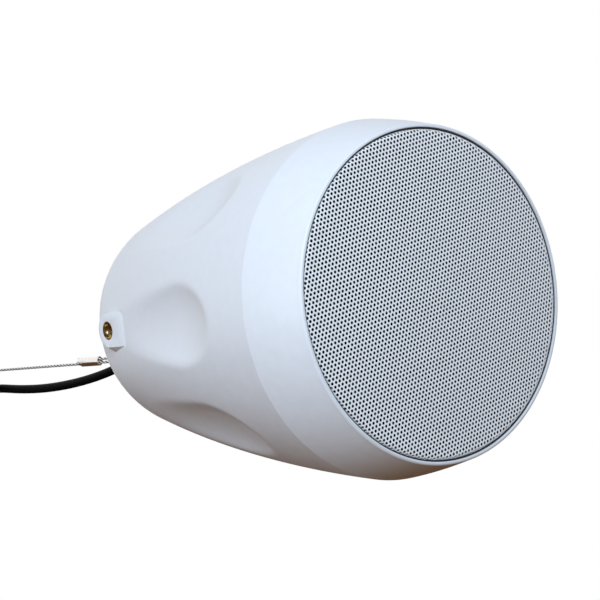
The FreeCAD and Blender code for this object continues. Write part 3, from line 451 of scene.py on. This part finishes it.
def makeFerrule(name, node, place, length, turn, slanted):
    bm = bmesh.new()
    bmesh.ops.create_circle(bm, cap_ends=True, segments=ferrule["sides"], radius=1.0)
    bmesh.ops.scale(bm, vec=(ferrule["halfWidth"], ferrule["halfDepth"], 1), verts=bm.verts)
    grown = bmesh.ops.extrude_face_region(bm, geom=bm.faces[:], use_keep_orig=True)
    bmesh.ops.translate(bm, vec=(0, 0, length), verts=newVerts(grown))
    bmesh.ops.recalc_face_normals(bm, faces=bm.faces)
    if slanted:
        wide, drop = ferrule["slantWidth"], ferrule["slantDrop"]
        bmesh.ops.bisect_plane(
            bm, geom=bm.verts[:] + bm.edges[:] + bm.faces[:], dist=limits["weld"],
            plane_co=(wide - ferrule["halfWidth"], 0, length), plane_no=(-drop, 0, wide),
            clear_outer=True,
        )
        bmesh.ops.holes_fill(bm, edges=[edge for edge in bm.edges if edge.is_boundary], sides=0)
        bmesh.ops.recalc_face_normals(bm, faces=bm.faces)
    facing, clear = ferrule["endFacing"], limits["clear"]
    hollowEnd(bm, [face for face in bm.faces if face.normal.z > facing], -1)
    hollowEnd(bm, [face for face in bm.faces
                   if face.normal.z < -facing and face.calc_center_median().z < clear], 1)
    bm.normal_update()
    outer = [edge for edge in bm.edges
             if edge.is_manifold and edge.calc_face_angle() > ferrule["sharpAngle"]
             and all(onSleeve(vert) for vert in edge.verts)]
    softEdges(bm, outer, ferrule["edgeRound"])
    bmesh.ops.recalc_face_normals(bm, faces=bm.faces)
    where = Matrix.Translation(place) @ Matrix.Rotation(math.radians(turn), 4, "Z")
    bmesh.ops.transform(bm, matrix=where, verts=bm.verts)
    return keepPiece(bm, name, "ferrule_metal", [node], 30)


lowerSleeve = makeFerrule("lowerSleeve", "lower_ferrule", ferrule["lowerPlace"],
                          ferrule["lowerLength"], 0, True)
upperSleeve = makeFerrule("upperSleeve", "upper_ferrule", ferrule["upperPlace"],
                          ferrule["upperLength"], 90, False)
print("stage: ferrules")

# Rope: three strands laid together along the route, from the short end in the lower ferrule,
# round the eye and up to the free loop

rope = {
    "strands": 3,
    "strandRadius": 0.48,
    "layRadius": 0.53,
    "lay": 13.5,
    "step": 0.6,
    "grooveRadius": 0.81,
    "crestRadius": 0.95,
    "sides": 10,
    "x": -22.8,
    "y": -12.0,
    "shortX": -20.5,
    "shortEnd": 369.0,
    "joinHeight": 322.0,
    "flare": (2.7, 12.0),
    "eyeHeight": 300.5,
    "turnRadius": 4.35,
    "turnStart": -18,
    "turnStep": -48,
    "turnPoints": 4,
    "joinLength": 26.0,
    "loopLead": 22.3,
    "loopStart": 540.5,
    "loopCentre": (-13.15, 565.0),
    "loopRadius": 12.0,
    "loopStep": 45,
    "loopPoints": 6,
    "end": (-14.3, 506.0),
    "routeSteps": 16,
}


def ropeRoute():
    x, y, shortX, eye = rope["x"], rope["y"], rope["shortX"], rope["eyeHeight"]
    middle = (x + shortX) / 2
    wide, above = rope["flare"]
    points = [(shortX, y, rope["shortEnd"]), (shortX, y, rope["joinHeight"]),
              (middle + wide, y, eye + above)]
    corner = rope["turnRadius"] / math.cos(math.radians(rope["turnStep"] / 2))
    for index in range(rope["turnPoints"]):
        turn = math.radians(rope["turnStart"] + rope["turnStep"] * index)
        points.append((middle + corner * math.cos(turn), y, eye + corner * math.sin(turn)))
    points += [(middle - wide, y, eye + above), (x, y, rope["joinHeight"]),
               (x, y, rope["joinHeight"] + rope["joinLength"]),
               (x, y, rope["loopStart"] - rope["loopLead"]), (x, y, rope["loopStart"])]
    step, (loopY, loopZ) = rope["loopStep"], rope["loopCentre"]
    reach = rope["loopRadius"] / math.cos(math.radians(step / 2))
    for index in range(rope["loopPoints"]):
        turn = math.radians(step * index - step / 2)
        points.append((x, loopY + reach * math.cos(turn), loopZ + reach * math.sin(turn)))
    points += [(x, rope["end"][0], rope["loopStart"]), (x, *rope["end"])]
    return points


def evenPoints(points, step):
    total = lengthOf(points)
    count = int(total / step)
    spans = [(after - before).length for before, after in zip(points, points[1:])]
    even, walked, index = [], 0.0, 0
    for number in range(count + 1):
        target = total * number / count
        while index < len(spans) - 1 and walked + spans[index] < target:
            walked += spans[index]
            index += 1
        share = (target - walked) / spans[index]
        even.append(points[index].lerp(points[index + 1], min(share, 1.0)))
    return even


def frameAlong(points):
    last = len(points) - 1
    tangents = [(points[min(index + 1, last)] - points[max(index - 1, 0)]).normalized()
                for index in range(len(points))]
    side = tangents[0].orthogonal().normalized()
    sides = []
    for tangent in tangents:
        side = (side - tangent * side.dot(tangent)).normalized()
        sides.append(side.copy())
    return tangents, sides


def strandLines(points, length):
    tangents, sides = frameAlong(points)
    lines = []
    for strand in range(rope["strands"]):
        line = []
        for index, point in enumerate(points):
            travelled = length * 1000 * index / (len(points) - 1)
            angle = 2 * math.pi * (travelled / rope["lay"] + strand / rope["strands"])
            across = tangents[index].cross(sides[index])
            offset = sides[index] * math.cos(angle) + across * math.sin(angle)
            line.append(point + offset * rope["layRadius"] / 1000)
        lines.append(line)
    return lines


def strandCurve(name, lines, radius, sides):
    curve = bpy.data.curves.new(name, "CURVE")
    curve.dimensions = "3D"
    curve.bevel_depth = radius
    curve.bevel_resolution = max(0, sides // 2 - 2)
    curve.use_fill_caps = True
    for line in lines:
        spline = curve.splines.new("POLY")
        spline.points.add(len(line) - 1)
        for control, point in zip(spline.points, line):
            control.co = (*point, 1)
    holder = bpy.data.objects.new(name, curve)
    data = bpy.data.meshes.new_from_object(holder)
    bpy.data.objects.remove(holder)
    return data


def markGrooveShade(data, axisPoints):
    # painted shade mask: 0 in the grooves, which take the dark painted shade, 1 on the strands'
    # outsides
    tree = KDTree(len(axisPoints))
    for index, point in enumerate(axisPoints):
        tree.insert(point, index)
    tree.balance()
    crest = data.attributes.new(strandLook["attribute"], "FLOAT", "POINT")
    low, high = rope["grooveRadius"] / 1000, rope["crestRadius"] / 1000
    for vertex in data.vertices:
        away = tree.find(vertex.co)[2]
        crest.data[vertex.index].value = min(max((away - low) / (high - low), 0.0), 1.0)


def makeRope():
    route = routeCurve("ropeRoute", ropeRoute(), rope["routeSteps"])
    smooth = routePoints(route)
    bpy.data.objects.remove(route)
    length = lengthOf(smooth)
    points = evenPoints(smooth, rope["step"] / 1000)
    data = strandCurve("ropeStrands", strandLines(points, length),
                       rope["strandRadius"] / 1000, rope["sides"])
    data.name = "wireRope"
    data.shade_smooth()
    markGrooveShade(data, points)
    piece = dressPiece(bpy.data.objects.new("wireRope", data), "rope_steel", ["rope"])
    print("rope length", round(length, 3))


makeRope()
print("stage: rope")

# Enclosure: the rear shell and the front band share one outline of three arcs

shell = {
    "rimRadius": 93.4,
    "rimEdge": 1.5,
    "creaseRadius": 101.6,
    "creaseHeight": 40.0,
    "bandBulge": 0.6,
    "shoulderRadius": 69.8,
    "shoulderHeight": 235.0,
    "bodyBulge": 4.6,
    "domeRadius": 58.0,
    "rearHeight": 270.0,
    "wall": 3.2,
    "seatRadius": 42.2,
    "seatHeight": 266.0,
    "openingRadius": 34.0,
    "openingHeight": 262.5,
    "insideTop": 262.0,
    "rowStep": 1.5,
    "insideRows": 48,
    "steps": 320,
    "edgeRound": 0.015,
    "lastRowInset": 0.4,
    "shapedDepth": 2,
}

band = {
    "rimSteps": 6,
    "rows": 18,
    "spigotOuter": 97.6,
    "spigotInner": 95.4,
    "spigotLength": 6.0,
    "ledgeRadius": 84.0,
    "ledgeHeights": (24.0, 20.0),
    "mouth": [(91.15, 20.0), (91.15, 0.5), (91.25, 0.15), (91.5, 0.0)],
}

pad = {
    "face": 77.4,
    "root": 68.2,
    "halfWidth": 10.3,
    "front": 199.0,
    "insertHeight": 218.5,
    "holeRadius": 5.75,
    "roundSteps": 24,
    "holeSteps": 40,
    "edgeRound": 0.2,
    "bed": 0.7,
    "lean": 0.68,
    "opening": 7.6,
    "openingDepth": 8,
    "rowAbove": 0.1,
}


def bulgedCircle(start, end, bulge):
    chordR, chordZ = end[0] - start[0], end[1] - start[1]
    length = math.hypot(chordR, chordZ)
    radius = length ** 2 / (8 * bulge) + bulge / 2
    inward = radius - bulge
    centreR = (start[0] + end[0]) / 2 - inward * chordZ / length
    centreZ = (start[1] + end[1]) / 2 + inward * chordR / length
    return centreR, centreZ, radius


bandCircle = bulgedCircle(
    (shell["rimRadius"], shell["rimEdge"]), (shell["creaseRadius"], shell["creaseHeight"]),
    shell["bandBulge"],
)
bodyCircle = bulgedCircle(
    (shell["creaseRadius"], shell["creaseHeight"]),
    (shell["shoulderRadius"], shell["shoulderHeight"]), shell["bodyBulge"],
)
shoulderNormal = Vector((
    shell["shoulderRadius"] - bodyCircle[0], shell["shoulderHeight"] - bodyCircle[1]
)).normalized()
domeCircle = (
    shell["shoulderRadius"] - shell["domeRadius"] * shoulderNormal.x,
    shell["shoulderHeight"] - shell["domeRadius"] * shoulderNormal.y,
    shell["domeRadius"],
)


def circleRadius(circle, height, inset=0.0):
    return circle[0] + math.sqrt((circle[2] - inset) ** 2 - (height - circle[1]) ** 2)


def bodyRadius(height, inset=0.0):
    onBody = height <= shell["shoulderHeight"] - shoulderNormal.y * inset
    return circleRadius(bodyCircle if onBody else domeCircle, height, inset)


# Scoops: teardrop hollows with a straight floor and a round front end

scoop = {
    "count": 8,
    "frontHeight": 80.0,
    "deepHeight": 127.0,
    "rearHeight": 198.0,
    "depth": 6.9,
    "floorRadius": 67.0,
    "softFront": 1.2,
    "softRear": 2.6,
    "margin": 12,
    "searchSpan": 14.0,
    "searchSteps": 18,
}

deepPoint = Vector((bodyRadius(scoop["deepHeight"]) - scoop["depth"], scoop["deepHeight"]))
rearPoint = Vector((bodyRadius(scoop["rearHeight"]), scoop["rearHeight"]))
frontPoint = Vector((bodyRadius(scoop["frontHeight"]), scoop["frontHeight"]))
floorWay = (rearPoint - deepPoint).normalized()
floorOut = Vector((floorWay.y, -floorWay.x))
reach = frontPoint - deepPoint
frontArc = reach.dot(reach) / (2 * reach.dot(floorOut))
scoopAxis = deepPoint + floorOut * scoop["floorRadius"]


def scoopGap(radius, angle, height):
    # how far a point lies outside the scoop's cutter
    offset = Vector((radius * math.cos(angle), height)) - scoopAxis
    along = offset.dot(floorWay)
    outward = offset.dot(floorOut)
    side = radius * math.sin(angle)
    size = scoop["floorRadius"]
    if along < 0:
        size -= frontArc - math.sqrt(max(frontArc ** 2 - along ** 2, 0.0))
    return math.hypot(outward, side) - size


def scoopRadius(angle, height, start):
    # radius of the scoop's surface in one direction, found between two guesses
    low, high = start - scoop["searchSpan"], start + scoop["searchSpan"]
    for attempt in range(scoop["searchSteps"]):
        middle = (low + high) / 2
        if scoopGap(middle, angle, height) > 0:
            low = middle
        else:
            high = middle
    return (low + high) / 2


def softLower(first, second, softness):
    share = max(softness - abs(first - second), 0.0) / softness
    return min(first, second) - share * share * softness / 4


def shapedRadius(plain, azimuth, height, outer):
    front, rear, margin = scoop["frontHeight"], scoop["rearHeight"], scoop["margin"]
    if not front - margin < height < rear + margin:
        return plain
    spacing = 2 * math.pi / scoop["count"]
    angle = (azimuth + math.pi / 2 + spacing / 2) % spacing - spacing / 2
    cut = scoopRadius(angle, height, outer)
    share = min(max((height - front) / (rear - front), 0), 1)
    softness = scoop["softFront"] + (scoop["softRear"] - scoop["softFront"]) * share
    return plain - (outer - softLower(outer, cut, softness))


def openForInserts(bm):
    # the wall opens behind each pad, where its insert goes through
    hidden = []
    for face in bm.faces:
        centre = face.calc_center_median()
        across = math.hypot(centre.x, centre.z - pad["insertHeight"])
        if across < pad["opening"] and abs(centre.y) > pad["root"] - pad["openingDepth"]:
            hidden.append(face)
    bmesh.ops.delete(bm, geom=hidden, context="FACES")
    for way in (1, -1):
        rims = [edge for edge in bm.edges if edge.is_boundary and edge.verts[0].co.y * way > 0]
        bmesh.ops.bridge_loops(bm, edges=rims)
    bmesh.ops.recalc_face_normals(bm, faces=bm.faces)


def housingProfile():
    top, crease, edge = shell["rearHeight"], shell["creaseHeight"], shell["edgeRound"]
    rows = int((top - crease - 2 * edge) / shell["rowStep"])
    profile = [(bodyRadius(crease) - edge, crease)]
    for row in range(rows + 1):
        height = crease + edge + (top - crease - 2 * edge) * row / rows
        profile.append((bodyRadius(height), height))
    padRow = pad["front"] + pad["rowAbove"]
    profile.append((bodyRadius(padRow), padRow))
    profile.sort(key=lambda corner: corner[1])
    profile.append((bodyRadius(top) - shell["lastRowInset"], top))
    seat, seatHeight, opening = shell["seatRadius"], shell["seatHeight"], shell["openingRadius"]
    profile += [(seat + edge, top), (seat, top - edge), (seat, seatHeight),
                (opening, seatHeight), (opening, shell["openingHeight"])]
    insideTop, rows = shell["insideTop"], shell["insideRows"]
    for row in range(rows + 1):
        height = insideTop - (insideTop - crease) * row / rows
        profile.append((bodyRadius(height, shell["wall"]), height))
    return profile


def makeHousing():
    top, wall = shell["rearHeight"], shell["wall"]
    bm = spinProfile(housingProfile(), shell["steps"])
    for vert in bm.verts:
        radius = math.hypot(vert.co.x, vert.co.y)
        azimuth = math.atan2(vert.co.y, vert.co.x)
        outer = bodyRadius(min(vert.co.z, top))
        if outer - radius > wall + shell["shapedDepth"]:
            continue
        shaped = shapedRadius(radius, azimuth, vert.co.z, outer)
        vert.co.x *= shaped / radius
        vert.co.y *= shaped / radius
        inPad = (abs(vert.co.x) < pad["halfWidth"]
                 and vert.co.z > pad["front"] + pad["rowAbove"] / 2)
        bed = pad["face"] - pad["bed"]
        if inPad and abs(vert.co.y) > bed:
            vert.co.y = math.copysign(bed, vert.co.y)
    openForInserts(bm)
    keepPiece(bm, "fluteHousing", "enclosure_white", ["housing"], 30)


makeHousing()
print("stage: housing")


def bandProfile():
    crease, edge, rimEdge = shell["creaseHeight"], shell["edgeRound"], shell["rimEdge"]
    centre, rows = shell["rimRadius"] - rimEdge, band["rows"]
    profile = []
    for step in range(band["rimSteps"] + 1):
        turn = math.radians(90 * step / band["rimSteps"])
        profile.append((centre + rimEdge * math.sin(turn), rimEdge - rimEdge * math.cos(turn)))
    for row in range(1, rows + 1):
        height = rimEdge + (crease - edge - rimEdge) * row / rows
        profile.append((circleRadius(bandCircle, height), height))
    profile.append((shell["creaseRadius"] - edge, crease))
    outer, inner, ledge = band["spigotOuter"], band["spigotInner"], band["ledgeRadius"]
    spigotTop, (ledgeTop, ledgeBottom) = crease + band["spigotLength"], band["ledgeHeights"]
    profile += [(outer, crease), (outer, spigotTop), (inner, spigotTop), (inner, ledgeTop),
                (ledge, ledgeTop), (ledge, ledgeBottom)]
    return profile + band["mouth"]


def makeBand():
    bm = spinProfile(bandProfile(), shell["steps"])
    keepPiece(bm, "frontBand", "enclosure_white", ["front_ring"], 30)


makeBand()
print("stage: front band")

# Pads: flat faces, square in front and round behind, each with a hole for its insert


def padOutline(bm):
    half, high = pad["halfWidth"], pad["insertHeight"]
    start = bm.verts.new((half, -pad["face"], high))
    arc = bmesh.ops.spin(
        bm, geom=[start], cent=(0, -pad["face"], high), axis=(0, -1, 0), dvec=(0, 0, 0),
        angle=math.pi, steps=pad["roundSteps"], use_merge=False, use_normal_flip=False,
        use_duplicate=False,
    )
    end = newVerts(arc, "geom_last")[0]
    corners = [bm.verts.new((side * half, -pad["face"], pad["front"])) for side in (1, -1)]
    for pair in ((start, corners[0]), (corners[0], corners[1]), (corners[1], end)):
        bm.edges.new(pair)


def makePads():
    bm = bmesh.new()
    padOutline(bm)
    mouth = Matrix.Translation((0, -pad["face"], pad["insertHeight"]))
    bmesh.ops.create_circle(bm, segments=pad["holeSteps"], radius=pad["holeRadius"],
                            matrix=mouth @ Matrix.Rotation(math.pi / 2, 4, "X"))
    face = bmesh.ops.triangle_fill(bm, use_beauty=True, use_dissolve=False, edges=bm.edges[:],
                                   normal=(0, -1, 0))
    faces = [item for item in face["geom"] if isinstance(item, bmesh.types.BMFace)]
    grown = bmesh.ops.extrude_face_region(bm, geom=faces, use_keep_orig=True)
    back = newVerts(grown)
    bmesh.ops.translate(bm, vec=(0, pad["face"] - pad["root"], 0), verts=back)
    lean = 1 + pad["lean"] * (pad["face"] - pad["root"]) / pad["halfWidth"]
    for vert in back:
        fromHole = math.hypot(vert.co.x, vert.co.z - pad["insertHeight"])
        if fromHole > pad["holeRadius"] + limits["clear"] and vert.co.x < 0:
            vert.co.x *= lean
    bmesh.ops.recalc_face_normals(bm, faces=bm.faces)
    rims = [edge for edge in bm.edges
            if all(abs(vert.co.y + pad["face"]) < limits["near"] for vert in edge.verts)
            and any(abs(side.normal.y) < limits["wallFacing"] for side in edge.link_faces)]
    softEdges(bm, rims, pad["edgeRound"])
    addOpposite(bm)
    keepPiece(bm, "insertPads", "enclosure_white", smoothAngle=30)


makePads()

# Brass inserts: a sleeve with a wide chamfer and a thread, sunk a little in its pad

insert = {
    "outer": 5.7,
    "sink": 0.1,
    "length": 13.5,
    "edgeBreak": 0.2,
    "mouth": 5.4,
    "counterbore": 5.1,
    "counterDepth": 2.2,
    "chamferDepth": 3.0,
    "crest": 3.7,
    "valley": 4.35,
    "pitch": 1.25,
    "crestShare": (0.45, 0.6),
    "steps": 56,
}


def makeInserts():
    outer, length, edge = insert["outer"], insert["length"], insert["edgeBreak"]
    depth, pitch = insert["chamferDepth"], insert["pitch"]
    profile = [(outer, length), (outer, edge), (outer - edge, 0.0), (insert["mouth"], 0.0),
               (insert["counterbore"], insert["counterDepth"]), (insert["valley"], depth)]
    while depth + pitch < length:
        profile += [(insert["crest"], depth + pitch * share) for share in insert["crestShare"]]
        depth += pitch
        profile.append((insert["valley"], depth))
    profile.append((insert["crest"], length))
    bm = spinProfile(profile, insert["steps"])
    place = Matrix.Translation((0, insert["sink"] - pad["face"], pad["insertHeight"]))
    bmesh.ops.transform(bm, matrix=place @ Matrix.Rotation(-math.pi / 2, 4, "X"), verts=bm.verts)
    addOpposite(bm)
    keepPiece(bm, "brassInserts", "insert_brass", ["side_inserts"], 40)


makeInserts()
print("stage: pads and inserts")

# Grille: a triangle lattice whose points open into round holes, given its thickness flat and
# then bent to the dome with its edge turned back

grille = {
    "pitch": 2.5,
    "holeRadius": 0.91,
    "sheet": 0.3,
    "across": 124,
    "along": 92,
    "shift": (-2.2037, -1.2959),
    "turn": 78.6,
    "reach": 91.6,
    "edge": 93.3,
    "bendStart": 88.2,
    "bendRadius": 2.0,
    "rise": 2.2,
    "domeEdge": 89.2,
    "depth": 11.0,
}


def latticeSheet():
    bm = bmesh.new()
    bmesh.ops.create_grid(bm, x_segments=grille["across"], y_segments=grille["along"], size=1)
    pitch, tall = grille["pitch"], math.sqrt(3) / 2
    wide, high = grille["across"] / 2, grille["along"] / 2
    lattice = Matrix((
        (pitch * wide, pitch * high / 2, 0, pitch * grille["shift"][0]),
        (0, pitch * high * tall, 0, pitch * grille["shift"][1]),
        (0, 0, 1, 0), (0, 0, 0, 1),
    ))
    bmesh.ops.transform(bm, matrix=lattice, verts=bm.verts)
    bmesh.ops.triangulate(bm, faces=bm.faces[:], quad_method="SHORT_EDGE")
    return bm


def bendPoint(point):
    flat = math.hypot(point.x, point.y)
    deep = point.z
    if flat <= grille["bendStart"]:
        radius = flat
        height = grille["rise"] * ((flat / grille["domeEdge"]) ** 2 - 1) + deep
    else:
        size = grille["bendRadius"]
        along = flat - grille["bendStart"]
        angle = min(along / size, math.pi / 2)
        rest = max(along - size * math.pi / 2, 0.0)
        edge = grille["rise"] * ((grille["bendStart"] / grille["domeEdge"]) ** 2 - 1)
        radius = grille["bendStart"] + (size - deep) * math.sin(angle)
        height = edge + size - (size - deep) * math.cos(angle) + rest
    if flat > 0:
        point.x *= radius / flat
        point.y *= radius / flat
    point.z = height


def makeGrille():
    bm = latticeSheet()
    full = {vert for vert in bm.verts if vert.co.xy.length < grille["reach"]}
    ring = {edge.other_vert(vert) for vert in full for edge in vert.link_edges} - full
    spare = [vert for vert in bm.verts if vert not in full and vert not in ring]
    bmesh.ops.delete(bm, geom=spare, context="VERTS")
    empty = [face for face in bm.faces if not any(vert in full for vert in face.verts)]
    bmesh.ops.delete(bm, geom=empty, context="FACES")
    edgeReach = grille["edge"]
    for vert in ring:
        factor = edgeReach / vert.co.xy.length
        vert.co.x *= factor
        vert.co.y *= factor
    opened = bmesh.ops.bevel(bm, geom=list(full), offset=grille["holeRadius"], segments=1,
                             profile=0.5, affect="VERTICES", material=-1, clamp_overlap=False)
    bmesh.ops.delete(bm, geom=opened["faces"], context="FACES_ONLY")
    outer = [edge for edge in bm.edges if edge.is_boundary
             and min(vert.co.xy.length for vert in edge.verts) > edgeReach - limits["near"]]
    skirt = bmesh.ops.extrude_edge_only(bm, edges=outer)
    reach = grille["bendStart"] + grille["bendRadius"] * (math.pi / 2 - 1) + grille["depth"]
    for vert in newVerts(skirt):
        factor = reach / vert.co.xy.length
        vert.co.x *= factor
        vert.co.y *= factor
    bmesh.ops.recalc_face_normals(bm, faces=bm.faces)
    grown = bmesh.ops.extrude_face_region(bm, geom=bm.faces[:], use_keep_orig=True)
    bmesh.ops.translate(bm, vec=(0, 0, grille["sheet"]), verts=newVerts(grown))
    bmesh.ops.recalc_face_normals(bm, faces=bm.faces)
    rims = [edge for edge in bm.edges
            if max(vert.co.z for vert in edge.verts) < limits["near"]
            and max(vert.co.xy.length for vert in edge.verts) < edgeReach - limits["clear"]
            and any(abs(face.normal.z) < limits["wallFacing"] for face in edge.link_faces)]
    cut = bmesh.ops.subdivide_edges(bm, edges=rims, cuts=1, use_grid_fill=False)
    push = grille["holeRadius"] * (1 - math.cos(math.pi / 6))
    bm.normal_update()
    for vert in newVerts(cut, "geom_inner"):
        wall = min(vert.link_faces, key=lambda face: abs(face.normal.z))
        vert.co.x -= wall.normal.x * push
        vert.co.y -= wall.normal.y * push
    for vert in bm.verts:
        bendPoint(vert.co)
    bmesh.ops.rotate(bm, cent=(0, 0, 0), verts=bm.verts,
                     matrix=Matrix.Rotation(math.radians(grille["turn"]), 3, "Z"))
    print("grille holes", len(full), "faces", len(bm.faces),
          "triangles", sum(len(face.verts) - 2 for face in bm.faces))
    keepPiece(bm, "perforatedGrille", "grille_steel", ["grille"], 40)


makeGrille()

# Dark foam seal that fills the gap between the grille's edge and the band; its black stands in
# for the gap's shadow, as painted shade
gapShadeSeal = {
    "inner": 90.25,
    "outer": 91.12,
    "front": 0.9,
    "back": 9.5,
    "edgeRound": 0.1,
    "steps": 160,
}


def makeGapShadeSeal():
    inner, outer, front, back = gapShadeSeal["inner"], gapShadeSeal["outer"], gapShadeSeal["front"], gapShadeSeal["back"]
    edge = gapShadeSeal["edgeRound"]
    profile = [(inner, front + edge), (inner + edge, front), (outer - edge, front),
               (outer, front + edge), (outer, back), (inner, back)]
    keepPiece(spinProfile(profile, gapShadeSeal["steps"]), "grilleGapShadeSeal", "soft_rubber")


makeGapShadeSeal()
print("stage: grille")

# Studio: a white floor, a brown card at one side, the sky and the lamps

studio = {
    "floorHeight": -3.2,
    "floorSize": 60.0,
    "floorColor": (0.92, 0.92, 0.92),
    "floorRoughness": 0.9,
    "sky": (1.0, 0.88, 0.82),
    "skyStrength": 0.345,
    "cardDistance": 0.42,
    "cardSize": 4.0,
    "cardColor": (0.165, 0.08, 0.03),
    "cardRoughness": 0.8,
    "paperSpecular": 0.1,
    "paperGrain": 3.0,
    "paperSpread": 0.02,
    "aim": (0, 0, 130),
    "lamps": {
        "frontLight": {
            "way": (0.6, -1.0, -1.25), "size": 0.6, "power": 19.9, "color": (0.70, 0.85, 1.0),
        },
        "topLight": {
            "way": (1.3, 0.3, -1.0), "size": 0.6, "power": 5.0, "color": (0.72, 0.855, 1.0),
        },
        "sideLight": {
            "way": (0.1, -1.6, 0.1), "size": 0.6, "power": 7.2, "color": (0.83, 0.91, 1.0),
        },
        "rearLight": {
            "way": (0.4, 0.3, 1.5), "size": 1.2, "power": 0.2, "color": (0.6, 0.8, 1.0),
        },
    },
}


def stageSheet(name, size, place, turn, color, roughness):
    bm = bmesh.new()
    bmesh.ops.create_grid(bm, x_segments=2, y_segments=2, size=size / 2)
    bmesh.ops.transform(bm, matrix=Matrix.Translation(place) @ turn, verts=bm.verts)
    data = bpy.data.meshes.new(name)
    bm.to_mesh(data)
    bm.free()
    sheet = bpy.data.objects.new(name, data)
    bpy.context.scene.collection.objects.link(sheet)
    finish = newFinish(name + "Paper", color, roughness, specular=studio["paperSpecular"])
    grain = objectNoise(finish, studio["paperGrain"])
    colorSpread(finish, grain, shade(color, 1 - studio["paperSpread"]), color)
    data.materials.append(finish)
    return sheet


def makeFloor():
    place = (0, 0, studio["floorHeight"])
    stageSheet("studioFloor", studio["floorSize"], place, Matrix.Identity(4),
               studio["floorColor"], studio["floorRoughness"])


# a brown card beside the speaker: its undersides and metal take on its warm tone
def makeCard():
    place = spot(-1000 * studio["cardDistance"], *studio["aim"][1:])
    card = stageSheet("warmCard", studio["cardSize"], place, Matrix.Rotation(math.pi / 2, 4, "Y"),
                      studio["cardColor"], studio["cardRoughness"])
    card.visible_camera = False


def makeSky():
    # the camera and reflections see it white, and its light has the sky's tone
    world = bpy.data.worlds.new("studioSky")
    bpy.context.scene.world = world
    world.use_nodes = True
    tree = world.node_tree
    light = tree.nodes["Background"]
    light.inputs["Color"].default_value = (*studio["sky"], 1)
    light.inputs["Strength"].default_value = studio["skyStrength"]
    white = tree.nodes.new("ShaderNodeBackground")
    white.inputs["Color"].default_value = (1, 1, 1, 1)
    path = tree.nodes.new("ShaderNodeLightPath")
    mirrored = tree.nodes.new("ShaderNodeMath")
    seen = tree.nodes.new("ShaderNodeMath")
    mirrored.operation = seen.operation = "MAXIMUM"
    tree.links.new(path.outputs["Is Glossy Ray"], mirrored.inputs[0])
    tree.links.new(path.outputs["Is Transmission Ray"], mirrored.inputs[1])
    tree.links.new(path.outputs["Is Camera Ray"], seen.inputs[0])
    tree.links.new(mirrored.outputs["Value"], seen.inputs[1])
    blend = tree.nodes.new("ShaderNodeMixShader")
    tree.links.new(seen.outputs["Value"], blend.inputs["Fac"])
    tree.links.new(light.outputs["Background"], blend.inputs[1])
    tree.links.new(white.outputs["Background"], blend.inputs[2])
    tree.links.new(blend.outputs["Shader"], tree.nodes["World Output"].inputs["Surface"])


def makeLights():
    for name, setting in studio["lamps"].items():
        data = bpy.data.lights.new(name, "AREA")
        data.shape = "DISK"
        data.size = setting["size"]
        data.energy = setting["power"]
        data.color = setting["color"]
        lamp = bpy.data.objects.new(name, data)
        bpy.context.scene.collection.objects.link(lamp)
        way = Vector(setting["way"])
        lamp.location = spot(*studio["aim"]) + way
        lamp.rotation_euler = (-way).to_track_quat("-Z", "Y").to_euler()


makeCard()
makeFloor()
makeSky()
makeLights()
bpy.context.scene.view_settings.view_transform = "Standard"
print("stage: studio")
